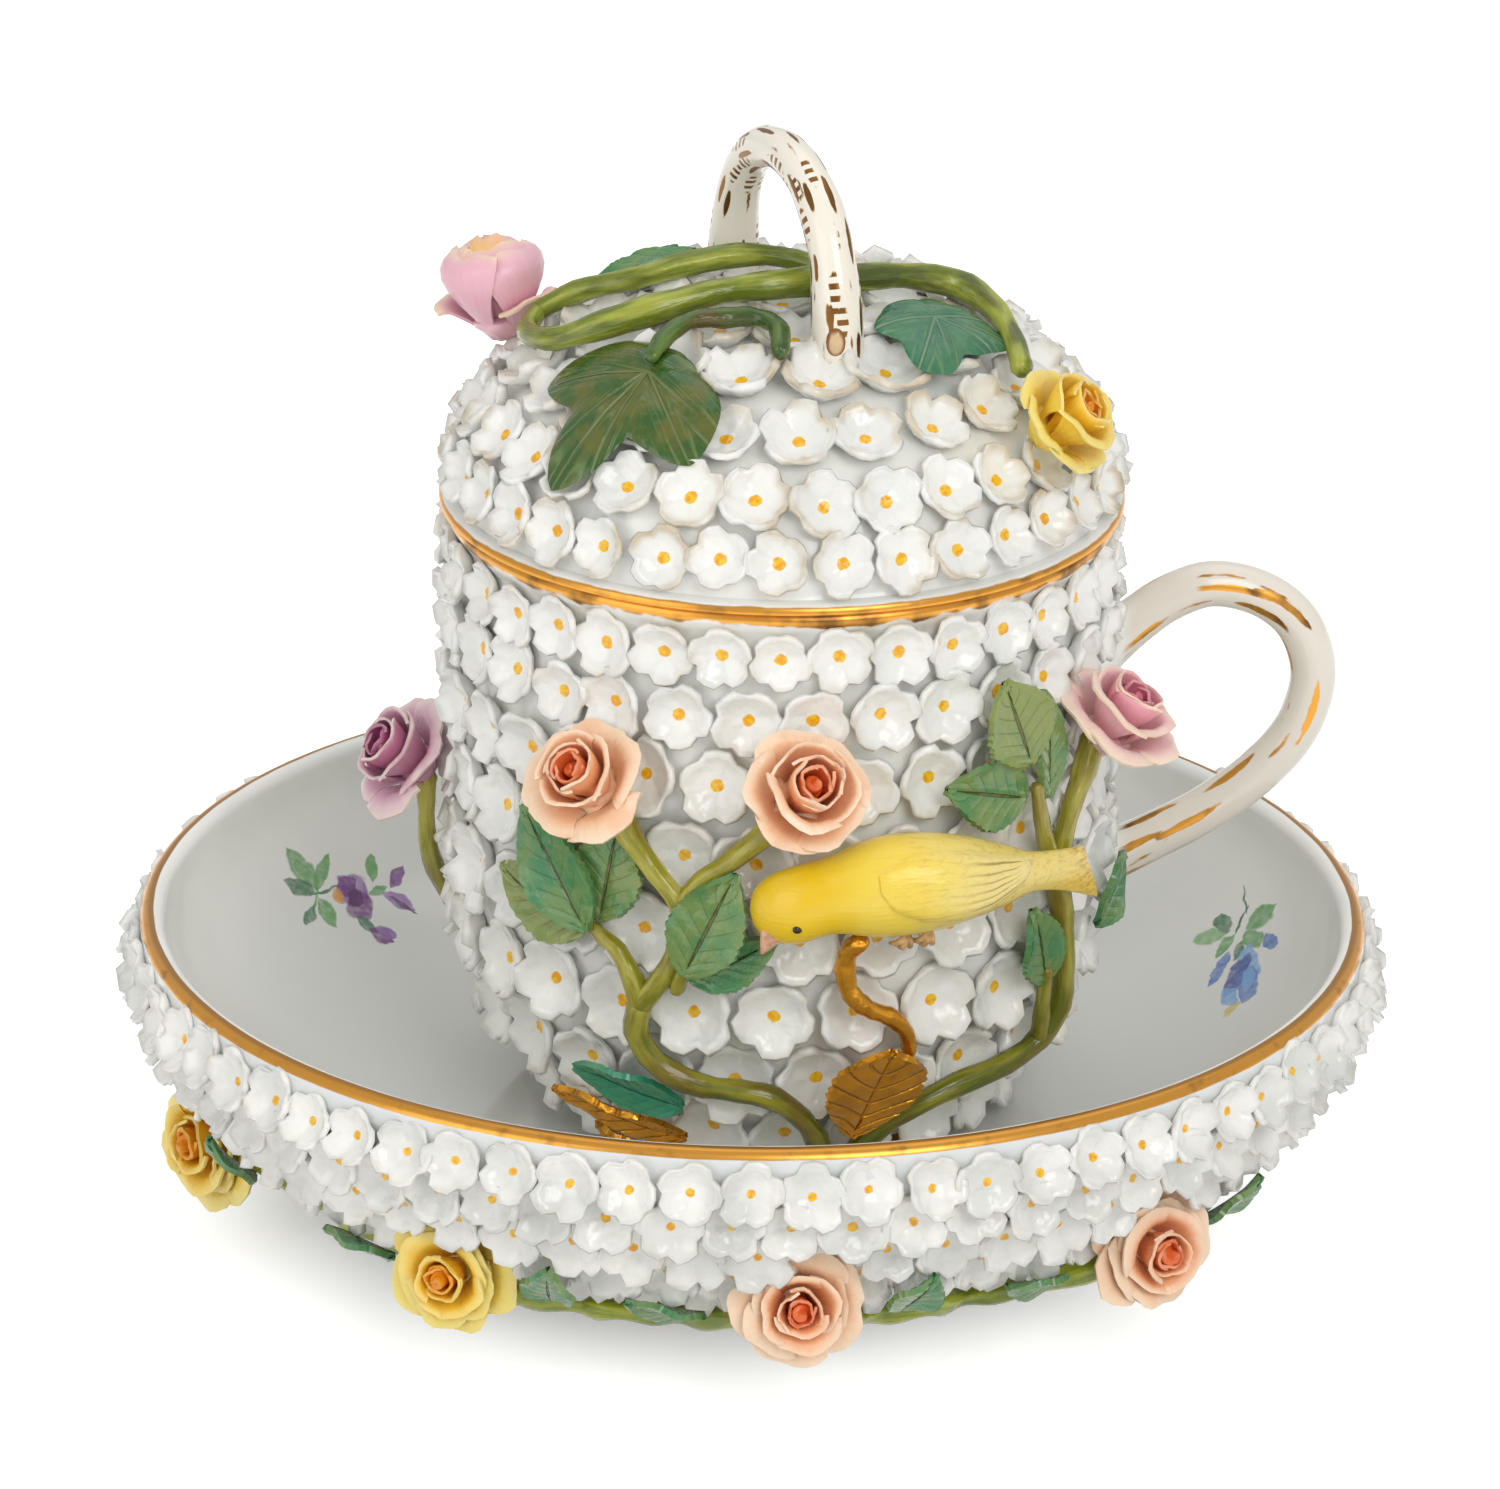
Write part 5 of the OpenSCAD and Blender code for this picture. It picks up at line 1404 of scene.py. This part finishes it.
class BLOSSOMCUP_OT_leaves(Operator):
    """Mould the leaves of the cup, the lid and the saucer"""

    bl_idname = "blossomcup.leaves"
    bl_label = "Leaves"

    def execute(self, context):
        s, c = sizes(), colours()
        green = enamel_leaf("green_enamel_leaf", "35804F", "88944E", "54421F", 0.45)
        teal = enamel_leaf("teal_enamel_leaf", "2A8A64", "5FA080", "1F5A48", 0.3)
        dark = enamel_leaf("dark_enamel_leaf", "30581F", "7A6C2C", "8C9C62", 0.5, 0.0, 0.25)
        blue_green = enamel_leaf("blue_green_enamel_leaf", "2F6E50", "5A8A5E", "9DB090", 0.45, 0.0, 0.3)
        gold = gilded("burnished_gold_leaf", c)
        finishes = {"green": green, "teal": teal, "gold": gold}
        unit = s.cup_r / 40
        bend = (s.cup_r + 8, 260)
        for k, (node_name, name, slot, finish, entries) in enumerate(CUP_LEAVES):
            widest, fold = (0.6, 0.3) if node_name == "gilt_leaf" else (0.46, 1.0)
            shape = {"teeth": 13, "widest": widest, "fold": fold, "full": 0.75 if finish == "green" else 0.55}
            pieces = []
            for i, (a, u, d, length, width, turn, tone) in enumerate(entries):
                m = cup_place(s, a, u, s.over_h + d + 0.5)
                seed = 10 * k + i
                pieces.append(leaf(m, length * unit, width * unit, turn, bend, tone, seed=seed, **shape))
            set_down(joined(pieces, name), [node_name], [finishes[finish]])
        lid_bend = s.dome_r - 5
        front = spread_leaf(
            lid_place(s, -16.2, -22.44, s.over_h + 1), FRONT_LOBES, 1.12 * s.lid_unit, lid_bend
        )
        set_down(joined([front], "leaf_lid_front"), ["lid_front_leaf"], [dark])
        right = spread_leaf(lid_place(s, 18.05, -11.22, s.over_h + 1.7), RIGHT_LOBES, s.lid_unit, lid_bend)
        set_down(joined([right], "leaf_lid_right"), ["lid_right_leaf"], [blue_green])
        back = [
            leaf(
                lid_place(s, x, y, s.over_h + d + 0.6), length * s.lid_unit, width * s.lid_unit,
                way - math.degrees(math.atan2(x, -y)), (lid_bend, lid_bend), 0.1, teeth=0.01, seed=77 + i
            )
            for i, (x, y, length, width, way, d) in enumerate(
                ((-10.73, 6.34, 15.61, 6.34, 183, 1), (-13.17, 12.68, 8.78, 4.88, 170, 0.6))
            )
        ]
        set_down(joined(back, "leaves_lid_back"), ["lid_back_leaves"], [green])
        under = [
            leaf(
                saucer_place(s, a + da, t, s.over_h + 1.5), LEAF_UNIT * 1.32, LEAF_UNIT * 0.9, turn,
                (s.saucer_r, s.bend_r), 0.15, seed=int(a) + 400 + i
            )
            for a in SAUCER_RING
            for i, (da, t, turn) in enumerate(((10.5, 44, 76), (-9.5, 46.5, 165)))
        ]
        set_down(joined(under, "leaves_saucer"), ["saucer_leaves"], [green])
        return {"FINISHED"}


# Vine, stem and wreath
class BLOSSOMCUP_OT_vines(Operator):
    """Roll the vine and the short stem on the lid, and the wreath of stems under the saucer"""

    bl_idname = "blossomcup.vines"
    bl_label = "Vines"

    def execute(self, context):
        s, c = sizes(), colours()
        off = s.over_h + 2.1
        vine = enamel_stem("enamelled_vine", c.vine, "A6AC44", "3A4410", 0.75)
        # the lines are in millimetres on a dome of 41 mm radius, and lid_place counts fortieths of it
        k = 40 / 41
        main = [
            (-31, 1, 1.3), (-32, -4.5, 1.5), (-28.5, -10.5, 1.9), (-22, -12, 2.1), (-15, -11.5, 2.1),
            (-8, -9.8, 2.1), (0, -8.5, 2.1), (8, -5.5, 2.1), (15, -1.5, 2.1), (21.5, 0.8, 2.1),
            (26, -2.5, 1.9), (28.5, -9, 1.7), (29.5, -14.5, 1.5)
        ]
        second = [
            (-31, 1, 1.3), (-26, 1.2, 1.6), (-19, -1, 1.8), (-12, 0.5, 1.8), (-4, 1.5, 1.6), (3, -1.5, 1.6),
            (8, -5.5, 1.8)
        ]
        pieces = [lid_rod(s, [(x * k, y * k, off, r) for x, y, r in path]) for path in (main, second)]
        set_down(joined(pieces, "vine_lid"), ["lid_vine"], [vine])
        short = [
            (-0.5, -22.5, 1.3), (-0.8, -18, 1.4), (-3.5, -15.6, 1.4), (-7.5, -15.3, 1.4),
            (-11.5, -16.4, 1.4), (-14.6, -19.3, 1.3), (-16.3, -22.6, 1.1)
        ]
        dark = enamel_stem("dark_enamel_stem", "34501C", "5F7A30", "5A3A1A", 0.7)
        piece = lid_rod(
            s, [(x * k, y * k, s.stem_off + 0.45 * max(0, -8 - x) ** 0.5, r) for x, y, r in short], 5
        )
        set_down(joined([piece], "stem_lid_leaf"), ["lid_leaf_stem"], [dark])
        wreath = []
        n = len(SAUCER_RING)
        for i, a in enumerate(SAUCER_RING):
            b = SAUCER_RING[(i + 1) % n] + (360 if i == n - 1 else 0)
            line = smooth_path(
                [
                    (a + (b - a) * q, t, 1.3)
                    for q, t in (
                        (0.06, 46), (0.17, 55), (0.29, 61), (0.42, 59), (0.55, 63.5), (0.68, 62),
                        (0.82, 54), (0.94, 46)
                    )
                ],
                5
            )
            radii = line[:, 2] * (1.12 + 0.22 * np.sin(np.arange(len(line)) * 0.9 + i))
            wreath.append(rod([saucer_place(s, p[0], p[1], s.stem_off).translation for p in line], radii, 10))
        stem = enamel_stem("enamelled_wreath", "7C8C1E", "BEC638", "2C5A34", 0.5)
        set_down(joined(wreath, "wreath_saucer"), ["saucer_vine"], [stem])
        return {"FINISHED"}


# Canary

# along the bird, up, out from its plane, half height and half depth, in millimetres
CANARY_LINE = [
    (-19.6, -1.5, -0.3, 0.8, 0.7), (-19, -1.4, -0.3, 2.6, 2.2), (-17.2, -1.1, -0.2, 4.2, 3.7),
    (-14.5, -0.5, 0, 4.9, 4.3), (-10.5, 0.7, 0, 4.8, 4.5), (-5, 1.4, 0, 6.3, 5.4), (1, 1.4, 0, 6.4, 5.4),
    (7, 1.1, 0, 5.4, 4.8), (12.5, 0.3, -0.2, 3.9, 3.6), (17, -0.6, -0.5, 2.6, 2.2),
    (22, -2.0, -0.8, 2.9, 1.2), (26.8, -3.9, -1, 4.0, 0.7)
]
# upper and lower half of the beak: root, tip and thickness
BEAK = [
    ((-17.4, -3.8, 0.5), (-18.6, -6.9, 0.4), 1.6),
    ((-16.7, -4.2, 0.3), (-17.8, -6.2, 0.2), 1.15),
]
EYE = (-15.6, -2.2)


def canary_enamel(c):
    """Porcelain bird in yellow enamel: deep at head and belly, pale toward the tail, fine brown strokes"""
    m, bsdf, add = material("canary_enamel", BIRD_ENAMEL)
    v = place(add)
    along, up, kind = surface(add)
    soft = add("TexNoise", v, 0.22, 3.0)
    drift = add("MULTIPLY_ADD", soft, 8.0, add("ADD", along, -4.0))
    colour = add("Mix", add("MapRange", drift, -13.0, -7.0), "EBC31E", c.canary)
    colour = add("Mix", add("MULTIPLY", add("MapRange", drift, -4.0, 6.0), 0.6), colour, "EED98A")
    belly = add("MULTIPLY", add("MapRange", up, -1.0, -4.5), add("MapRange", drift, 1.0, 9.0))
    colour = add("Mix", add("MULTIPLY", belly, 0.7), colour, "E8BE1E")
    barbs = add("TexNoise", add("Mapping", v, None, (0, 0.3, 0), (0.22, 1.0, 2.4)), 1.0, 4.0, 0.65)
    fine = add("MULTIPLY", add("MapRange", barbs, 0.52, 0.66), add("MapRange", along, -9.0, 2.0))
    colour = add("Mix", add("MULTIPLY", fine, 0.4), colour, "C09A3A")
    tip = add("MULTIPLY", add("MapRange", along, 20.0, 27.0), add("MapRange", barbs, 0.4, 0.6))
    colour = add("Mix", add("MULTIPLY", tip, 0.6), colour, "A87A34")
    on_wing = add("MapRange", kind, 0.4, 0.9)
    edge = add("ABSOLUTE", add("SUBTRACT", add("FRACT", add("MULTIPLY", kind, 7.8)), 0.5))
    quill = add("MULTIPLY", add("MapRange", edge, 0.26, 0.44), add("MapRange", drift, 2.0, 11.0))
    scale = add("FRACT", add("MULTIPLY_ADD", along, 0.42, add("MULTIPLY", edge, 0.9)))
    covert = add("MULTIPLY", add("MapRange", scale, 0.8, 1.0), add("MapRange", drift, 9.0, 5.0))
    marks = add("MULTIPLY", add("MAXIMUM", quill, add("MULTIPLY", covert, 0.15)), on_wing)
    pale = add("MULTIPLY", on_wing, add("MapRange", drift, 0.0, 9.0))
    colour = add("Mix", add("MULTIPLY", pale, 0.35), colour, "EFE2A0")
    colour = add("Mix", add("MULTIPLY", marks, 0.85), colour, "94793A")
    feed(bsdf, "Base Color", colour)
    feed(bsdf, "Normal", add("Bump", barbs, 0.1 * MM))
    return m


class BLOSSOMCUP_OT_canary(Operator):
    """Model the canary: body, folded wing, beak, eye and feet"""

    bl_idname = "blossomcup.canary"
    bl_label = "Canary"

    def execute(self, context):
        s, c = sizes(), colours()
        off = s.over_h + 5.5
        m = cup_place(s, 20, 57, off)
        k = s.cup_r * 1.12 / 45
        bend = s.cup_r + off
        table = smooth_path(CANARY_LINE, 3)

        def bent(*columns):
            """Places about the bird's middle at its own size, bent back round the cup"""
            x, y, z = (k * np.asarray(column, float) for column in columns)
            return x, y, z - x**2 / (2 * bend)

        body, ring, angle = ball(28, len(table) - 1 + 2)
        ring_at = np.clip(ring - 1, 0, len(table) - 1)
        along, up, out, high, deep = table[ring_at].T
        closed = ((ring > 0) & (ring < len(table) + 1)).astype(float)
        tail = np.clip((along - 15) / 11, 0, 1)
        groove = 1 - 0.22 * tail * (np.cos(3 * angle) ** 2) * (np.abs(np.cos(angle)) < 0.9)
        fan = np.clip((along - 19) / 8, 0, 1)
        x = along - 0.35 * fan * high * np.cos(angle) * closed - 2.2 * (ring > len(table))
        y = up + high * np.cos(angle) * closed * groove
        z = out + deep * np.sin(angle) * closed * (1 + 0.35 * tail * np.cos(5 * angle) ** 2)
        put_points(body, *bent(x, y, z))
        mark(body, along, y, 0)
        outward(body)

        def skin(px, py):
            """Height of the bird's side over its plane"""
            middle, out, high, deep = (
                np.interp(px, table[:, 0], table[:, column])
                for column in (1, 2, 3, 4)
            )
            return out + deep * np.sqrt(np.clip(1 - ((py - middle) / high) ** 2, 0.02, 1))

        wing, s_, t_ = sheet(24, 44)
        px = -6 + 21.5 * t_
        top = np.interp(px, (-6, -2, 2, 6, 10, 13, 15.5), (4.6, 6.2, 6.3, 5.6, 4.3, 3.2, 2.1))
        low = np.interp(px, (-6, -4, 0, 4, 8, 12, 15.5), (3.0, 0.6, -1.2, -1.6, -1.0, 0.3, 1.9))
        py = low + (top - low) * (s_ + 1) / 2
        plume = 0.16 * np.abs(np.sin(math.pi * 3.5 * (s_ + 1))) * np.clip((t_ - 0.25) * 3, 0, 1)
        ridge = np.clip(np.sin(math.pi * np.clip(t_ * 1.05, 0, 1) ** 1.4), 0, 1)
        swell = 1.3 * np.clip(1 - s_**6, 0, 1) ** 0.5 * ridge
        h = skin(px, py) - 0.25 + swell + plume * (swell > 0.1) + 0.9 * np.clip(t_ - 0.75, 0, 1) * 4
        put_points(wing, *bent(px, py, h))
        mark(wing, px, py, 1 + (s_ + 1) / 2 * 0.9)
        modify(wing, "SOLIDIFY", thickness=0.6, offset=-1)
        outward(wing)
        beak = []
        for root, tip, r in BEAK:
            line = np.array(root) + np.outer((0, 0.3, 0.6, 0.85, 1), np.array(tip) - np.array(root))
            taper = np.array([1, 0.82, 0.55, 0.28, 0.12])
            beak.append(rod(np.stack(bent(*line.T), 1), k * r * taper, 10, start=(0, 0, 1)))
        eye = ball(12, 8)[0]
        spot = np.array(bent(*EYE, skin(*EYE) - 0.12))
        put_points(eye, points_of(eye) * np.array([0.66, 0.56, 0.4]) + spot)
        mark(eye, np.zeros((len(eye.data.vertices), 3)))
        feet = []
        for fx in (-1.3, 1.6):
            base = np.array([k * fx, k * -4.6, k * 1.2])
            for dx, dy in ((-1.7, -1.5), (-0.6, -2.2), (0.7, -2.1)):
                steps = ((0, 0, 0), (dx * 0.4, dy * 0.45, 0.5), (dx * 0.8, dy * 0.85, -0.1), (dx, dy, -1))
                feet.append(rod([base + np.array(step) for step in steps], [0.62, 0.5, 0.42, 0.22], 8))
            feet.append(rod([base + np.array([0.3, 1.6, 0.4]), base], [0.75, 0.6], 8))
        enamels = {}
        for name, base, second, gloss in (
            ("beak_enamel", "E9B497", "B98A62", 0.22), ("foot_enamel", "D2AA70", "9C7038", 0.22),
            ("black_enamel", "120C08", "2A1A10", 0.08)
        ):
            enamels[name], bsdf, add = material(name, gloss)
            patches = add("MapRange", add("TexNoise", place(add), 0.5, 3.0), 0.4, 0.65)
            feed(bsdf, "Base Color", add("Mix", patches, base, second))
        plumage = canary_enamel(c)
        for p in (body, wing):
            p.data.materials.append(plumage)
        for some, name in ((beak, "beak_enamel"), (feet, "foot_enamel"), ([eye], "black_enamel")):
            for p in some:
                p.data.materials.append(enamels[name])
        bird = joined([body, wing] + beak + feet + [eye], "bird")
        bird.data.transform(m)
        set_down(bird, ["canary"], None, angle=60)
        return {"FINISHED"}


# Stage

# each lamp: name, place and size in metres, power in watts
LAMPS = [
    ("key", (0.45, -1.0, 0.75), 0.6, 5.0),
    ("fill", (-0.9, -0.8, 0.5), 0.8, 3.0),
    ("top", (0.1, 0.35, 1.1), 0.9, 1.8),
]
LAMP_AIM = Vector((0, 0, 0.06))
# the painted shadow on the table: where it is deepest, and the distances from there between which it fades,
# in mm
SHADOW_MIDDLE = (-5, 14, 0)
SHADOW_REACH = (44, 74)
# the camera that was fitted to the photograph's ellipses: metres, radians and pixels
CAMERA_AIM = Vector((-0.000608, 0, 0.062706))
CAMERA_FAR = 1.2
CAMERA_TILT = math.radians(21.70)
CAMERA_ROLL = 0.01273
FOCAL_PIXELS = 9404
PICTURE_PIXELS = 1500
SENSOR_MM = 36


class BLOSSOMCUP_OT_stage(Operator):
    """Set the pale floor, the soft lamps, the white world and the camera"""

    bl_idname = "blossomcup.stage"
    bl_label = "Stage"

    def execute(self, context):
        deselect()
        bpy.ops.mesh.primitive_plane_add(size=6, location=(0, 0, 0))
        floor = bpy.context.object
        floor.name = "floor"
        # A matt white table. It glows a little to the camera and in gloss; the glow is turned down in a soft
        # disc under the saucer, a painted shadow.
        m, bsdf, add = material("matt_white_table", 0.9)
        feed(bsdf, "Base Color", "E8E8E8")
        rays = [add("LightPath", out=f"Is {kind} Ray") for kind in ("Camera", "Glossy", "Transmission")]
        seen = add("MAXIMUM", add("MAXIMUM", rays[0], rays[1]), rays[2])
        # painted shadow: the glow falls off toward SHADOW_MIDDLE
        away = add("VectorMath", place(add), SHADOW_MIDDLE, operation="DISTANCE", out="Value")
        glow = add("MULTIPLY_ADD", add("MapRange", away, *SHADOW_REACH), 0.47, 0.18)
        lit = add("Emission", (1, 1, 1, 1), add("MULTIPLY", seen, glow))
        feed(m.node_tree.nodes["Material Output"], "Surface", add("AddShader", bsdf.outputs[0], lit))
        floor.data.materials.append(m)

        world = bpy.data.worlds.new("studio")
        context.scene.world = world
        world.use_nodes = True
        add = partial(node, world.node_tree)
        rays = [add("LightPath", out=f"Is {kind} Ray") for kind in ("Camera", "Transmission")]
        back = world.node_tree.nodes["Background"]
        feed(back, "Strength", add("MULTIPLY_ADD", add("MAXIMUM", *rays), 0.33, 0.67))
        feed(back, "Color", (1, 1, 1, 1))

        for name, where, size, power in LAMPS:
            bpy.ops.object.light_add(type="AREA", location=where)
            lamp = bpy.context.object
            lamp.name = name
            lamp.data.size = size
            lamp.data.energy = power
            aim = LAMP_AIM - Vector(where)
            lamp.rotation_euler = aim.to_track_quat("-Z", "Y").to_euler()

        forward = Vector((0, math.cos(CAMERA_TILT), -math.sin(CAMERA_TILT)))
        up = Vector((0, math.sin(CAMERA_TILT), math.cos(CAMERA_TILT)))
        side = Vector((1, 0, 0))
        bpy.ops.object.camera_add(location=CAMERA_AIM - forward * CAMERA_FAR)
        camera = bpy.context.object
        right = side * math.cos(CAMERA_ROLL) + up * math.sin(CAMERA_ROLL)
        above = -side * math.sin(CAMERA_ROLL) + up * math.cos(CAMERA_ROLL)
        turn = Matrix((right, above, -forward)).transposed()
        camera.rotation_euler = turn.to_euler()
        camera.data.sensor_fit = "HORIZONTAL"
        camera.data.sensor_width = SENSOR_MM
        camera.data.lens = SENSOR_MM * FOCAL_PIXELS / PICTURE_PIXELS
        camera.data.clip_end = 20
        context.scene.camera = camera
        context.scene.view_settings.view_transform = "Standard"
        return {"FINISHED"}


STEPS = (
    BLOSSOMCUP_OT_saucer,
    BLOSSOMCUP_OT_cup,
    BLOSSOMCUP_OT_lid,
    BLOSSOMCUP_OT_blossoms,
    BLOSSOMCUP_OT_stems,
    BLOSSOMCUP_OT_roses,
    BLOSSOMCUP_OT_leaves,
    BLOSSOMCUP_OT_vines,
    BLOSSOMCUP_OT_canary,
    BLOSSOMCUP_OT_stage,
)


class BLOSSOMCUP_PT_pieces(Panel):
    """Lists the steps, with the sizes and colours above them"""

    bl_label = "Blossom cup"
    bl_idname = "BLOSSOMCUP_PT_pieces"
    bl_space_type = "VIEW_3D"
    bl_region_type = "UI"
    bl_category = "Blossom cup"

    def draw(self, context):
        for group in (context.scene.blossomcup_sizes, context.scene.blossomcup_colours):
            box = self.layout.box()
            for key in group.__annotations__:
                box.prop(group, key)
        for step in STEPS:
            self.layout.operator(step.bl_idname)


CLASSES = (BLOSSOMCUP_PG_sizes, BLOSSOMCUP_PG_colours) + STEPS + (BLOSSOMCUP_PT_pieces,)


def register():
    for cls in CLASSES:
        bpy.utils.register_class(cls)
    bpy.types.Scene.blossomcup_sizes = PointerProperty(type=BLOSSOMCUP_PG_sizes)
    bpy.types.Scene.blossomcup_colours = PointerProperty(type=BLOSSOMCUP_PG_colours)


def unregister():
    del bpy.types.Scene.blossomcup_colours
    del bpy.types.Scene.blossomcup_sizes
    for cls in reversed(CLASSES):
        bpy.utils.unregister_class(cls)


def main():
    register()
    for step in STEPS:
        area, name = step.bl_idname.split(".")
        getattr(getattr(bpy.ops, area), name)()
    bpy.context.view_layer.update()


if __name__ == "__main__":
    main()
